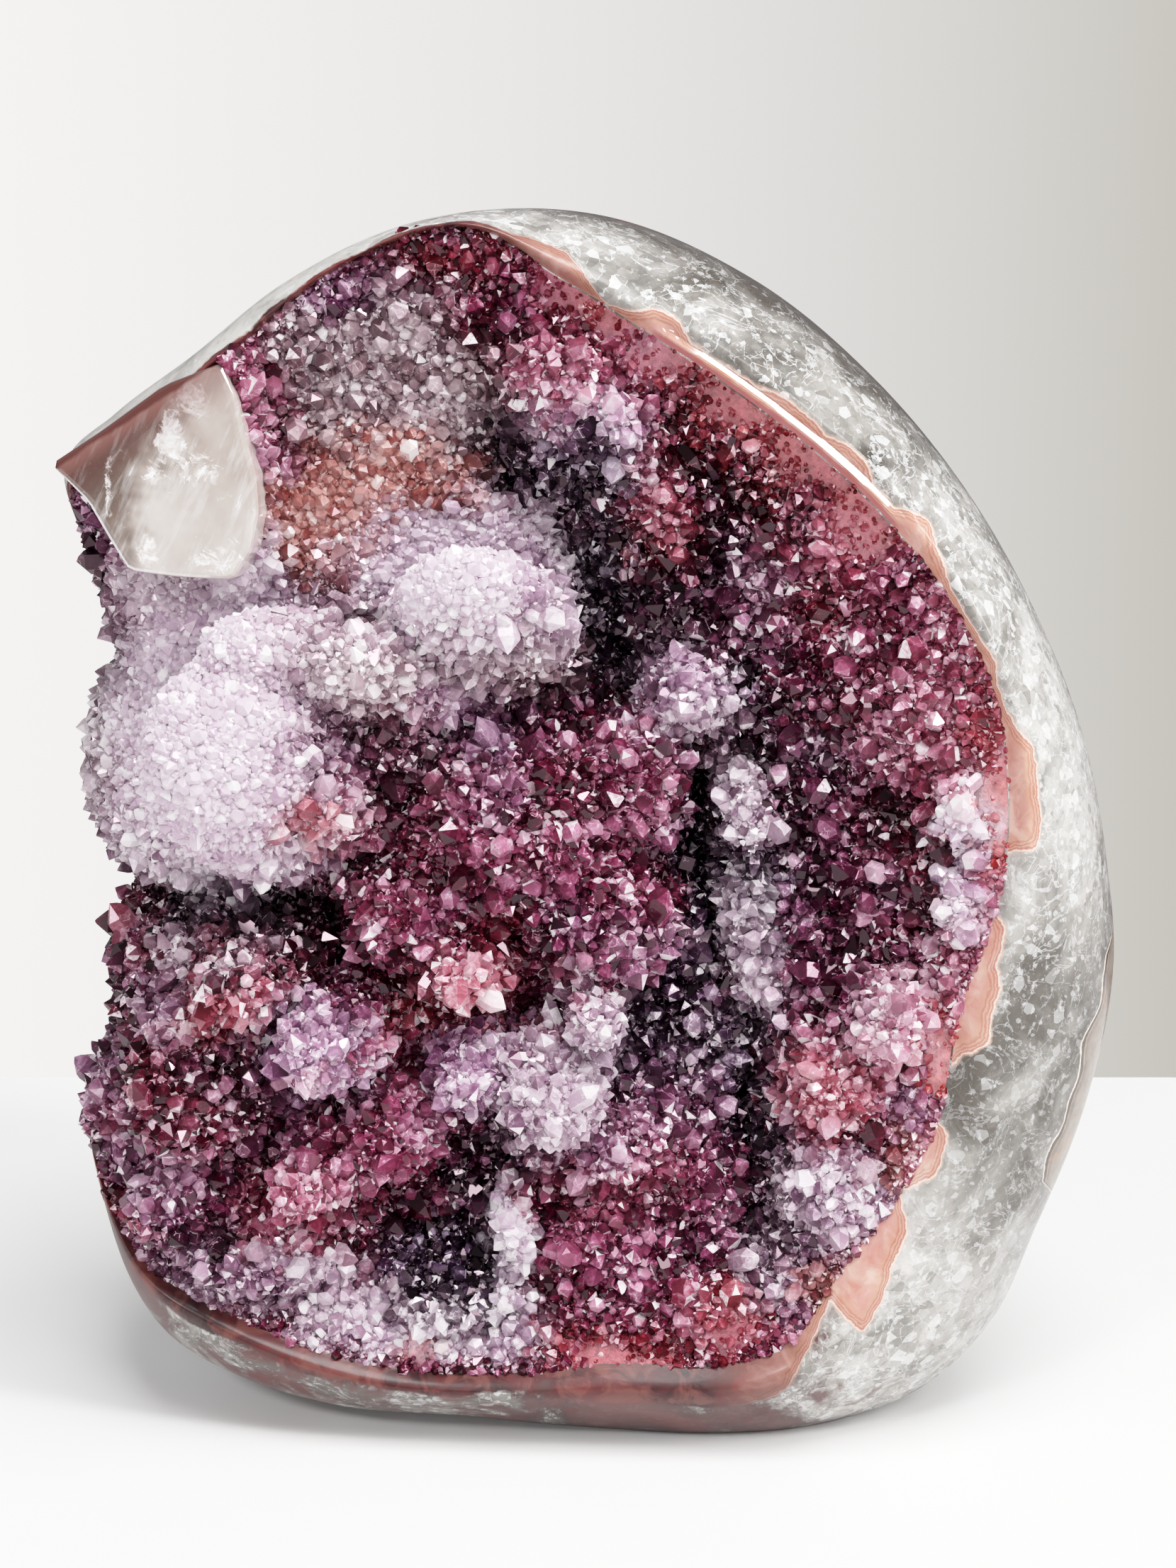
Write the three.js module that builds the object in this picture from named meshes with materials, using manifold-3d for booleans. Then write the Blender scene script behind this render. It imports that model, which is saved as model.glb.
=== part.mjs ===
// A free-standing druzy geode: a polished agate shell with a flat sawn base, and the crust of
// amethyst crystals that grew in its hollow. Millimetres, +Z up. The open, druzy side faces -Y.
// The origin is at the middle of the base.
import * as THREE from "three";
import { mergeVertices } from "three/addons/utils/BufferGeometryUtils.js";
import Module from "manifold-3d";

const wasm = await Module();
wasm.setup();

// Driving dimensions
const ORIGIN = { x: 0.5, y: 1.2 }; // the base's middle, in the coordinates of the tables below
const MIDDLE = { x: 0.9, z: 86 }; // where the outline's radii are measured from
const HEART_Y = 60; // depth of the point that the crust's rays leave from, behind the stone
const FLOOR_Y = -16; // depth of the hollow's bare floor
const BACK_Y = 43; // furthest point of the back
const BACK_SQUARENESS = 2.6; // 2 would make the back a half ellipsoid
const CRUST_THICKNESS = 5;
const JOINT_GAP = 0.35; // between the crust and the shell behind it
const WALL_GAP = 1.2; // between the crust's edge and the rim's inner wall
const BLEND = 3; // how far neighbouring lumps flow into each other
const LUMP_ROUNDNESS = 0.6; // 0.5 makes a lump half an ellipsoid, more makes its flanks lean back
const EDGE_FADE = 14; // power of the share at which lumps and clefts die out at the crust's edge

// Outline of the whole stone seen from the front: [degrees from +X, radius].
const OUTLINE = [
  [0, 75.9], [15, 73.9], [30, 73.6], [45, 75.8], [60, 80.1], [75, 86.3], [90, 92.2], [105, 94.4],
  [118, 93.6], [128, 92.4], [137, 94.3], [143.5, 96], [148, 90], [157, 77.5], [174, 76], [183, 70.6],
  [200, 77.3], [207, 88], [216, 93], [228, 99.3], [236, 98], [246, 94], [252, 91], [258, 89],
  [270, 89.2], [282, 92.4], [293, 96], [301, 97.8], [310, 95.1], [320, 88.5], [333, 83.6], [348, 79.5],
];
// The back rounds off towards this plainer outline.
const BACK_OUTLINE = [
  [0, 75.9], [45, 75.8], [90, 90.8], [125, 90], [150, 83], [185, 77], [220, 91], [250, 93], [290, 94],
  [330, 83],
];
// Outline of the druzy crust, inside the polished rim. The stone has no rim on its left side.
const CRUST_OUTLINE = [
  [0, 57], [25, 61.1], [50, 64.1], [70, 68.8], [84, 75.5], [93, 82.8], [101, 91], [112, 91],
  [125, 87.8], [137, 88.8], [143.5, 91.8], [148, 88], [157, 76.5], [163, 77], [174, 75.6], [183, 70.2],
  [191, 73.8], [200, 76.8], [207, 87], [214, 89.5], [222, 90], [230, 85.8], [245, 80], [270, 72.2],
  [291, 74], [301, 67.5], [312, 63.5], [324, 60], [341, 54.6],
];
// Depths round the stone: where the crust ends, the front level just inside that edge, and the
// widest section. On the left the crust wraps round the side and ends far back.
const EDGE_Y = [
  [0, -28], [60, -25], [90, -23], [108, -21], [128, -21], [138, -18], [144, -10], [151, 2],
  [165, 8], [180, 8], [195, 8], [206, 2], [216, -10], [228, -20], [250, -25], [290, -28],
];
const FACE_Y = [
  [0, -27], [60, -24], [90, -22], [108, -20], [125, -19], [150, -20], [180, -22], [206, -21],
  [228, -20], [250, -24], [290, -27],
];
const WIDEST_Y = [
  [0, -4], [60, -4], [125, -4], [140, -1], [152, 10], [165, 14], [195, 14], [206, 9], [222, -2], [240, -4],
  [300, -4],
];
// Section of the polished rim, from the crust's edge to the widest section, as shares of both.
const RIM_SECTION = [[0, 0], [0.16, -0.1], [0.42, 0.04], [0.7, 0.28], [0.9, 0.58], [0.985, 0.85], [1, 1]];

// Lumps that the crust is grown over: middle x and z, front y, and half sizes along x and z.
const LUMPS = {
  pale_shoulder: [-50.9, 106, -38, 16.8, 20.5],
  pale_crown: [-47.5, 119.2, -34, 13.2, 10],
  pale_ledge: [-15.6, 128.7, -34, 14.6, 9.9],
  grey_saddle: [-33.1, 116.6, -30, 13.9, 8],
  top_mound: [-4.8, 157.1, -27, 9.3, 7.8],
  top_spur: [4.3, 149.8, -26, 6.6, 6.3],
  pendant: [9.7, 137.9, -22, 5.2, 6.7],
  heart: [-12, 92, -27, 20.8, 16.6],
  heart_right: [6.6, 99.2, -24, 10.4, 11.1],
  heart_left: [-27.6, 79.4, -26, 15.4, 9.6],
  heart_foot: [1.1, 77.2, -26, 12.7, 11.3],
  heart_brow: [-30.5, 104, -26, 9.3, 7.1],
  lilac_knob: [14.4, 112.4, -23, 7.4, 6.8],
  ridge_high: [22.8, 94.2, -21, 4.4, 7.9],
  ridge_mid: [22.2, 78, -20, 4.3, 8.6],
  ridge_low: [25.4, 67, -20, 3.8, 5.8],
  wall_high: [46.8, 107.3, -26, 8.2, 12],
  wall_mid: [34.2, 117.4, -19, 10.5, 9.9],
  wall_top: [23.2, 128.3, -17, 7.7, 6.6],
  wall_low: [38.7, 74.7, -16, 11.4, 10.5],
  edge_bud_high: [52.6, 95.7, -29, 3.7, 6.6],
  edge_bud_mid: [52.2, 82.1, -29, 3.5, 5.8],
  edge_bud_low: [44.1, 64.9, -33, 6.8, 7.4],
  rose_right: [36, 55.1, -29, 9.7, 9.4],
  lilac_right: [35.1, 38.7, -30, 8.7, 9.9],
  lilac_heel: [28.7, 29.1, -28, 6.2, 6.5],
  coral_high: [-37.4, 96.7, -32, 7, 7.1],
  coral_left: [-52, 69.7, -31, 8.4, 7.4],
  coral_mid: [-18.6, 71.4, -29, 6.8, 6.3],
  coral_low: [-39.9, 59.8, -31, 9, 9],
  left_foot: [-60.8, 53.3, -27, 11.7, 14.4],
  left_heel: [-62.5, 33.5, -24, 10.2, 8.3],
  lilac_fan: [-5.5, 52.3, -31, 9.7, 9.6],
  white_knob: [1.1, 63.7, -31, 4.6, 5.4],
  lilac_mid: [-17.8, 54.8, -28, 6.7, 6],
  rose_bud: [-42.3, 38.7, -30, 7.3, 6.1],
  plum_low: [-30.3, 45.4, -26, 9, 8.2],
  plum_mid: [5.6, 44.2, -24, 9.6, 10],
  plum_right: [14.8, 34.7, -24, 10.8, 10.7],
  sill_left: [-51, 25.3, -26, 13.6, 5],
  sill: [-21.4, 19.5, -30, 12.6, 4.8],
  sill_post: [-11.3, 28.5, -27, 2.9, 7.8],
  foot_rose: [19.2, 20.9, -29, 7, 6.2],
  foot_plum: [4.5, 25.9, -26, 10.8, 9.5],
};
// Clefts between the lumps: half width, how deep they cut, and the line they follow in x and z.
const CLEFTS = [
  [5, 14, [[-11.5, 149], [-3.5, 143], [2.3, 131.4], [4.7, 113]]],
  [3, 13, [[15.9, 100], [18.4, 83], [16.7, 69.6], [18, 55]]],
  [3.5, 13, [[28, 77], [29.5, 55], [25.5, 33.4], [26.3, 20]]],
  [6, 10, [[-26, 27], [-17, 25]]],
  [3.5, 8, [[-66, 79], [-48, 80], [-37, 78]]],
];
// Polished window of clear quartz at the upper left: a block of the shell that shows at the front.
const WINDOW = {
  points: [
    [-71.2, 143.4], [-51.2, 155.8], [-48, 153.4], [-46.3, 147.1], [-44.9, 140.7], [-46.6, 133.2],
    [-49.2, 128.9], [-61.6, 129.7], [-65.2, 130.8], [-67.8, 137.5],
  ],
  front: -24,
  depth: 21,
  bevel: 2.2,
  turn: THREE.MathUtils.degToRad(9), // about the vertical at pivotX, so that it faces a little to the left
  pivotX: -58,
  clearance: 0.4,
};
// Crystals, as one layer of six-sided points on a lattice of rings.
const CRYSTAL_RINGS = 29;
const CRYSTAL_HEIGHT = [2, 4];
const EVENING_ROUNDS = 80; // passes that even out the lattice over steep lumps
const SHELL_RINGS = 12; // rings of the coarse surface behind the crust
const BACK_RINGS = 8;
const SKIRT_WIDTH = 6; // how far the space behind the crust is carried past the crust's edge
const SAW_BLOCK = [300, 300, 100]; // block that saws the stone off level with the table

const rayOrigin = new THREE.Vector3(MIDDLE.x, HEART_Y, MIDDLE.z);

function mulberry(seed) {
  let state = seed;
  return () => {
    state = (state + 0x6d2b79f5) | 0;
    let t = Math.imul(state ^ (state >>> 15), 1 | state);
    t = (t + Math.imul(t ^ (t >>> 7), 61 | t)) ^ t;
    return ((t ^ (t >>> 14)) >>> 0) / 4294967296;
  };
}

// Smooth value at an angle in degrees, from knots that go once round.
function around(knots, degrees) {
  const angle = THREE.MathUtils.euclideanModulo(degrees, 360);
  const count = knots.length;
  let i = knots.findIndex(([a]) => a > angle);
  i = (i < 0 ? count : i) - 1;
  const knot = (k) => {
    const [a, v] = knots[THREE.MathUtils.euclideanModulo(k, count)];
    return [a + 360 * Math.floor(k / count), v];
  };
  const [before, from, to, after] = [knot(i - 1), knot(i), knot(i + 1), knot(i + 2)];
  const span = to[0] - from[0];
  const t = (angle - from[0]) / span;
  const slopeFrom = (span * (to[1] - before[1])) / (to[0] - before[0]);
  const slopeTo = (span * (after[1] - from[1])) / (after[0] - from[0]);
  const rest = 1 - t;
  return (
    from[1] * rest * rest * (1 + 2 * t) + to[1] * t * t * (3 - 2 * t) +
    slopeFrom * t * rest * rest - slopeTo * t * t * rest
  );
}

function atPolar(degrees, radius, y) {
  const a = THREE.MathUtils.degToRad(degrees);
  return new THREE.Vector3(MIDDLE.x + radius * Math.cos(a), y, MIDDLE.z + radius * Math.sin(a));
}

// How much the crust wraps round the side of the stone at an angle, from 0 to 1.
function wrapAt(degrees) {
  return THREE.MathUtils.clamp((around(EDGE_Y, degrees) - around(FACE_Y, degrees)) / 28, 0, 1);
}

// The hollow's surface before its lumps. Share runs from 0 in the middle to 1 at the crust's edge.
function bareHollow(degrees, share) {
  const face = around(FACE_Y, degrees);
  const edge = around(EDGE_Y, degrees);
  const across = THREE.MathUtils.lerp(share, Math.sin((share * Math.PI) / 2), wrapAt(degrees));
  const y = FLOOR_Y + (face - FLOOR_Y) * share ** 2 + (edge - face) * share ** 6;
  return atPolar(degrees, around(CRUST_OUTLINE, degrees) * across, y);
}

// How far along a ray from the heart a lump reaches, pared down all round, or 0 where it misses.
function rayToLump(ray, bare, [x, z, front, rx, rz], paring) {
  const toFront = (front + paring - HEART_Y) / ray.y;
  if (toFront < bare || Math.min(rx, rz) < paring + 1) return 0;
  const across = (rayOrigin.x + ray.x * toFront - x) / (rx - paring);
  const up = (rayOrigin.z + ray.z * toFront - z) / (rz - paring);
  const inside = 1 - across * across - up * up;
  return inside > 0 ? bare + (toFront - bare) * inside ** LUMP_ROUNDNESS : 0;
}

function smoothLarger(a, b) {
  const h = Math.max(BLEND - Math.abs(a - b), 0) / BLEND;
  return Math.max(a, b) + (h * h * BLEND) / 4;
}

function cleftDepth(point) {
  let depth = 0;
  const here = new THREE.Vector2(point.x, point.z);
  for (const [halfWidth, cut, line] of CLEFTS) {
    let nearest = Infinity;
    for (let i = 1; i < line.length; i += 1) {
      const start = new THREE.Vector2(...line[i - 1]);
      const along = new THREE.Vector2(...line[i]).sub(start);
      const t = THREE.MathUtils.clamp(here.clone().sub(start).dot(along) / along.lengthSq(), 0, 1);
      nearest = Math.min(nearest, here.distanceTo(start.addScaledVector(along, t)));
    }
    depth = Math.max(depth, cut * Math.exp(-((nearest / halfWidth) ** 2)));
  }
  return depth;
}

// A point of the druzy surface, or of the surface that lies the paring behind it.
function druzyPoint(degrees, share, paring = 0) {
  const ray = bareHollow(degrees, share).sub(rayOrigin);
  const bare = ray.length() - paring;
  ray.normalize();
  let reach = bare;
  for (const lump of Object.values(LUMPS)) {
    const end = rayToLump(ray, bare, lump, paring);
    if (end > reach - BLEND) reach = smoothLarger(reach, end);
  }
  const surface = rayOrigin.clone().addScaledVector(ray, reach);
  const rise = reach - bare - cleftDepth(surface);
  return rayOrigin.clone().addScaledVector(ray, bare + rise * (1 - share ** EDGE_FADE));
}

// Triangles between rings of 6, 12, 18 ... points round point 0, as on a hexagon.
function latticeFaces(rings) {
  const start = (k) => (k === 0 ? 0 : 1 + 3 * k * (k - 1));
  const faces = [];
  for (let k = 1; k <= rings; k += 1) {
    for (let side = 0; side < 6; side += 1) {
      for (let j = 0; j < k; j += 1) {
        const outer = start(k) + side * k + j;
        const outerNext = start(k) + ((side * k + j + 1) % (6 * k));
        const inner = k === 1 ? 0 : start(k - 1) + ((side * (k - 1) + j) % (6 * (k - 1)));
        faces.push(inner, outer, outerNext);
        if (j < k - 1) {
          const innerNext = start(k - 1) + ((side * (k - 1) + j + 1) % (6 * (k - 1)));
          faces.push(inner, outerNext, innerNext);
        }
      }
    }
  }
  return faces;
}

// Whether place j of ring k, with six sides of k steps, is a crystal's tip: one point in three.
function isTip(k, j) {
  const corners = [[1, 0], [0, 1], [-1, 1], [-1, 0], [0, -1], [1, -1]];
  const side = Math.floor(j / k);
  const [q, r] = corners[side];
  const [nextQ, nextR] = corners[(side + 1) % 6];
  const step = j - side * k;
  const across = q * (k - step) + nextQ * step;
  const up = r * (k - step) + nextR * step;
  return THREE.MathUtils.euclideanModulo(across - up, 3) === 0;
}

// Points of a lattice over the hollow: place(degrees, share) gives each one.
function latticePoints(rings, place) {
  const points = [place(0, 0)];
  for (let k = 1; k <= rings; k += 1) {
    for (let j = 0; j < 6 * k; j += 1) points.push(place((60 * j) / k, k / rings));
  }
  return points;
}

function solidOf(geometry) {
  const bare = geometry.clone();
  bare.deleteAttribute("normal");
  bare.deleteAttribute("uv");
  const merged = mergeVertices(bare, 1e-4);
  const vertProperties = merged.attributes.position.array;
  const triVerts = new Uint32Array(merged.index.array);
  return new wasm.Manifold(new wasm.Mesh({ numProp: 3, vertProperties, triVerts }));
}

function solidOfFaces(points, faces) {
  const geometry = new THREE.BufferGeometry().setFromPoints(points);
  geometry.setIndex(faces);
  return solidOf(geometry);
}

function geometryOf(solid) {
  const { vertProperties, triVerts } = solid.getMesh();
  const geometry = new THREE.BufferGeometry();
  geometry.setAttribute("position", new THREE.BufferAttribute(vertProperties, 3));
  geometry.setIndex(new THREE.BufferAttribute(triVerts, 1));
  const flat = geometry.toNonIndexed();
  flat.computeVertexNormals();
  return flat;
}

// Closes a lattice sheet with one cone from its edge to a tip behind it.
function closeToTip(points, rings, tip) {
  const faces = latticeFaces(rings);
  const edge = points.length - 6 * rings;
  points.push(tip);
  for (let j = 0; j < 6 * rings; j += 1) {
    faces.push(edge + ((j + 1) % (6 * rings)), edge + j, points.length - 1);
  }
  return solidOfFaces(points, faces);
}

// The lattice of the crystals' feet as flat disk coordinates, drawn together where lumps are steep.
function evenedLattice(inset, faces) {
  const flat = latticePoints(CRYSTAL_RINGS, (degrees, share) => {
    const a = THREE.MathUtils.degToRad(degrees);
    return new THREE.Vector2(share * Math.cos(a), share * Math.sin(a));
  });
  const place = ({ x, y }) => {
    const degrees = THREE.MathUtils.radToDeg(Math.atan2(y, x));
    return druzyPoint(degrees, Math.hypot(x, y) * (1 - inset / around(CRUST_OUTLINE, degrees)));
  };
  const inner = flat.length - 6 * CRYSTAL_RINGS;
  for (let round = 0; round < EVENING_ROUNDS; round += 1) {
    const placed = flat.map(place);
    const sums = flat.map(() => ({ place: new THREE.Vector2(), weight: 0 }));
    for (let i = 0; i < faces.length; i += 3) {
      for (const [a, b] of [[0, 1], [1, 2], [2, 0]]) {
        const [from, to] = [faces[i + a], faces[i + b]];
        const weight = placed[from].distanceTo(placed[to]);
        sums[from].place.addScaledVector(flat[to], weight);
        sums[from].weight += weight;
      }
    }
    for (let i = 1; i < inner; i += 1) {
      flat[i].lerp(sums[i].place.divideScalar(sums[i].weight), 0.7);
    }
  }
  return flat.map(place);
}

// Raises one lattice point to a crystal's tip, leaning with the surface as far as no face folds over.
function raiseTip(points, tip, fan, height) {
  const foot = points[tip];
  const normal = new THREE.Vector3();
  for (const [b, c] of fan) {
    normal.add(points[b].clone().sub(foot).cross(points[c].clone().sub(foot)));
  }
  normal.normalize();
  const outward = foot.clone().sub(rayOrigin).normalize();
  for (const lean of [1, 0.7, 0.4, 0]) {
    const raised = outward.clone().lerp(normal, lean).setLength(height).add(foot);
    const ray = raised.clone().sub(rayOrigin);
    const folds = fan.some(([b, c]) => {
      const across = points[b].clone().sub(rayOrigin).cross(points[c].clone().sub(rayOrigin));
      return ray.dot(across) < 0.15 * foot.clone().sub(rayOrigin).dot(across);
    });
    if (!folds) {
      foot.copy(raised);
      return;
    }
  }
}

function crystalSheet() {
  const random = mulberry(7);
  const faces = latticeFaces(CRYSTAL_RINGS);
  const points = evenedLattice(WALL_GAP, faces);
  const fans = new Map();
  for (let k = 1; k < CRYSTAL_RINGS; k += 1) {
    for (let j = 0; j < 6 * k; j += 1) if (isTip(k, j)) fans.set(3 * k * (k - 1) + 1 + j, []);
  }
  for (let i = 0; i < faces.length; i += 3) {
    for (const [a, b, c] of [[0, 1, 2], [1, 2, 0], [2, 0, 1]]) {
      if (fans.has(faces[i + a])) fans.get(faces[i + a]).push([faces[i + b], faces[i + c]]);
    }
  }
  for (const [tip, fan] of fans) {
    raiseTip(points, tip, fan, THREE.MathUtils.lerp(...CRYSTAL_HEIGHT, random()));
  }
  return closeToTip(points, CRYSTAL_RINGS, rayOrigin.clone());
}

// The coarse surface where crust and shell meet, drawn back along its rays by a gap.
function pointsBehindCrust(gap) {
  return latticePoints(SHELL_RINGS, (degrees, share) => {
    const point = druzyPoint(degrees, share, CRUST_THICKNESS);
    return point.addScaledVector(point.clone().sub(rayOrigin).normalize(), -gap);
  });
}

// What lies behind the crust: the coarse surface, carried on past the crust's edge.
function spaceBehindCrust() {
  const points = pointsBehindCrust(0);
  const faces = latticeFaces(SHELL_RINGS);
  const count = 6 * SHELL_RINGS;
  const edge = points.length - count;
  for (let j = 0; j < count; j += 1) {
    const inner = points[edge + j];
    const away = new THREE.Vector3(inner.x - MIDDLE.x, 0, inner.z - MIDDLE.z).setLength(SKIRT_WIDTH);
    points.push(inner.clone().add(away));
  }
  const skirt = edge + count;
  for (let j = 0; j < count; j += 1) {
    const next = (j + 1) % count;
    faces.push(edge + j, skirt + j, skirt + next, edge + j, skirt + next, edge + next);
  }
  points.push(rayOrigin.clone().setY(HEART_Y + 10));
  const tip = points.length - 1;
  for (let j = 0; j < count; j += 1) faces.push(skirt + ((j + 1) % count), skirt + j, tip);
  return solidOfFaces(points, faces);
}

function windowBlock(clearance) {
  const outline = new THREE.Shape(WINDOW.points.map(([x, z]) => new THREE.Vector2(x, z)));
  const geometry = new THREE.ExtrudeGeometry(outline, {
    depth: WINDOW.depth + clearance,
    bevelThickness: WINDOW.bevel,
    bevelSize: WINDOW.bevel,
    bevelOffset: clearance - WINDOW.bevel,
    bevelSegments: 3,
  });
  geometry.rotateX(Math.PI / 2);
  geometry.translate(-WINDOW.pivotX, 0, 0);
  geometry.rotateZ(-WINDOW.turn);
  geometry.translate(WINDOW.pivotX, WINDOW.front + WINDOW.bevel + WINDOW.depth, 0);
  return solidOf(geometry);
}

function belowTable() {
  const box = new THREE.BoxGeometry(...SAW_BLOCK);
  box.translate(0, 0, -SAW_BLOCK[2] / 2);
  return solidOf(box);
}

// The stone's outside, ring by ring from the crust's edge to the middle of the back.
function outsideRings(degrees) {
  const crustEdge = around(CRUST_OUTLINE, degrees);
  const outline = around(OUTLINE, degrees);
  const edgeY = around(EDGE_Y, degrees);
  const widestY = around(WIDEST_Y, degrees);
  const rings = RIM_SECTION.map(([across, back]) => {
    const radius = THREE.MathUtils.lerp(crustEdge, outline, across);
    return atPolar(degrees, radius, THREE.MathUtils.lerp(edgeY, widestY, back));
  });
  for (let i = 1; i < BACK_RINGS; i += 1) {
    const a = (i / BACK_RINGS) * (Math.PI / 2);
    const shrink = Math.cos(a) ** (2 / BACK_SQUARENESS);
    const back = Math.sin(a) ** (2 / BACK_SQUARENESS);
    const radius = THREE.MathUtils.lerp(outline, around(BACK_OUTLINE, degrees), back);
    rings.push(atPolar(degrees, radius * shrink, THREE.MathUtils.lerp(widestY, BACK_Y, back)));
  }
  return rings;
}

function agateShell() {
  const count = 6 * SHELL_RINGS;
  const points = pointsBehindCrust(JOINT_GAP);
  const faces = latticeFaces(SHELL_RINGS);
  let previous = points.length - count;
  const spokes = Array.from({ length: count }, (_, j) => outsideRings((360 * j) / count));
  for (let ring = 0; ring < spokes[0].length; ring += 1) {
    const first = points.length;
    for (const spoke of spokes) points.push(spoke[ring]);
    for (let j = 0; j < count; j += 1) {
      const next = (j + 1) % count;
      faces.push(previous + j, first + j, first + next, previous + j, first + next, previous + next);
    }
    previous = first;
  }
  points.push(new THREE.Vector3(MIDDLE.x, BACK_Y, MIDDLE.z));
  const pole = points.length - 1;
  for (let j = 0; j < count; j += 1) faces.push(previous + j, pole, previous + ((j + 1) % count));
  return solidOfFaces(points, faces).add(windowBlock(0)).subtract(belowTable());
}

function crystalCrust() {
  return crystalSheet().subtract(spaceBehindCrust()).subtract(windowBlock(WINDOW.clearance));
}

const agate = new THREE.MeshStandardMaterial({ color: 0xb9b6b0, roughness: 0.12, metalness: 0 });
const amethyst = new THREE.MeshStandardMaterial({ color: 0x8c5578, roughness: 0.15, metalness: 0 });

function named(name, solid, material) {
  const mesh = new THREE.Mesh(geometryOf(solid), material);
  mesh.name = name;
  mesh.position.set(-ORIGIN.x, -ORIGIN.y, 0);
  return mesh;
}

const geode = new THREE.Group();
geode.add(named("agate_shell", agateShell(), agate));
geode.add(named("crystal_crust", crystalCrust(), amethyst));

export default geode;
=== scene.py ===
import math
import random

import bmesh
import bpy
import numpy as np
from mathutils import Matrix, Vector, kdtree


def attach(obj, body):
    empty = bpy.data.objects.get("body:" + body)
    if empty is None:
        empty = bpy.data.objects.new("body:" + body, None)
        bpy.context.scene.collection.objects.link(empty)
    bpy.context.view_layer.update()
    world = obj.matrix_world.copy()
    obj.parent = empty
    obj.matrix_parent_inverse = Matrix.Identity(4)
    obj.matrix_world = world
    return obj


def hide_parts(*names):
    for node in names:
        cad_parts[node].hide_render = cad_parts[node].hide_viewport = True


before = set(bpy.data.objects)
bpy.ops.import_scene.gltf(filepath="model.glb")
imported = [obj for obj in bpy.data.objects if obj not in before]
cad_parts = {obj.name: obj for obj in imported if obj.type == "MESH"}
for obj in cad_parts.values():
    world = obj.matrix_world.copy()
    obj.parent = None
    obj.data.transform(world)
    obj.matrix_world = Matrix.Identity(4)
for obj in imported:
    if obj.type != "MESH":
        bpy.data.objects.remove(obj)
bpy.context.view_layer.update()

MM = 0.001
# Lengths below are millimetres in the tables' own coordinates, which ORIGIN moves to the row frame.
ORIGIN = np.array([0.5, 1.2, 0.0])
MIDDLE = np.array([0.9, 0.0, 86.0])  # of the angles in the tables
HEART = np.array([0.9, 60.0, 86.0])  # behind the stone, where the rays to the druzy surface start
FLOOR_Y = -16.0  # of the bare hollow
BACK_Y = 43.0
BACK_SQUARENESS = 2.6
BLEND = 3.0  # over which a lump meets the ground beside it
LUMP_ROUNDNESS = 0.6
EDGE_FADE = 14  # the higher, the nearer to the crust's edge lumps and clefts fade out

# Knots round the stone as [degrees from +X, value].
OUTLINE = [
    [0, 75.9], [15, 73.9], [30, 73.6], [45, 75.8], [60, 80.1], [75, 86.3], [90, 92.2], [105, 94.4],
    [118, 93.6], [128, 92.4], [137, 94.3], [143.5, 96], [148, 90], [157, 77.5], [174, 76], [183, 70.6],
    [200, 77.3], [207, 88], [216, 93], [228, 99.3], [236, 98], [246, 94], [252, 91], [258, 89],
    [270, 89.2], [282, 92.4], [293, 96], [301, 97.8], [310, 95.1], [320, 88.5], [333, 83.6], [348, 79.5],
]
BACK_OUTLINE = [
    [0, 75.9], [45, 75.8], [90, 90.8], [125, 90], [150, 83], [185, 77], [220, 91], [250, 93], [290, 94],
    [330, 83],
]
CRUST_OUTLINE = [
    [0, 57], [25, 61.1], [50, 64.1], [70, 68.8], [84, 75.5], [93, 82.8], [101, 91], [112, 91],
    [125, 87.8], [137, 88.8], [143.5, 91.8], [148, 88], [157, 76.5], [163, 77], [174, 75.6], [183, 70.2],
    [191, 73.8], [200, 76.8], [207, 87], [214, 89.5], [222, 90], [230, 85.8], [245, 80], [270, 72.2],
    [291, 74], [301, 67.5], [312, 63.5], [324, 60], [341, 54.6],
]
EDGE_Y = [
    [0, -28], [60, -25], [90, -23], [108, -21], [128, -21], [138, -18], [144, -10], [151, 2],
    [165, 8], [180, 8], [195, 8], [206, 2], [216, -10], [228, -20], [250, -25], [290, -28],
]
FACE_Y = [
    [0, -27], [60, -24], [90, -22], [108, -20], [125, -19], [150, -20], [180, -22], [206, -21],
    [228, -20], [250, -24], [290, -27],
]
WIDEST_Y = [
    [0, -4], [60, -4], [125, -4], [140, -1], [152, 10], [165, 14], [195, 14], [206, 9], [222, -2],
    [240, -4], [300, -4],
]
# Section of the polished rim, as shares across it and back to the widest section.
RIM_SECTION = [[0, 0], [0.16, -0.1], [0.42, 0.04], [0.7, 0.28], [0.9, 0.58], [0.985, 0.85], [1, 1]]
# Width of the salmon agate band beside the crust. The quartz beyond it grew into it in teeth.
BAND_WIDTH = [
    [4.2, -0.8], [4.9, 4.6], [11.8, 4.8], [17.6, 4.8], [23.6, 1.5], [29.4, 2.6], [35.6, 1.4],
    [40, 1.6], [47.6, 5.8], [52, 2.6], [57.7, 4.2], [62.6, 3.3], [69, 3.9], [75, 2.8], [80, 2.7], [82, 5],
    [87, 1.3], [89, 0.2], [92.6, 5.6], [97.8, 2.6], [115, 2.0], [140, 3.0], [160, 1.5], [200, 1.5],
    [212, 2.0], [218.5, 2.7], [223, 3.7], [228.5, 4.6], [233, 3.1], [239, 4.7], [244.5, 2.9],
    [253, 4], [263, 2.6], [270, 5.8], [277.6, 5.9], [288, 7.1], [295.7, 2.3], [299, 1.2],
    [300.4, 9.4], [307, 5.7], [311.6, 4.1], [314, -0.3], [319, 3.1], [324, 2.1], [325, -1.3],
    [330, -1.9], [334, 1.1], [338, 5.3], [345.6, 4.6], [354, 2.2], [357, -2.4],
]

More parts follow.
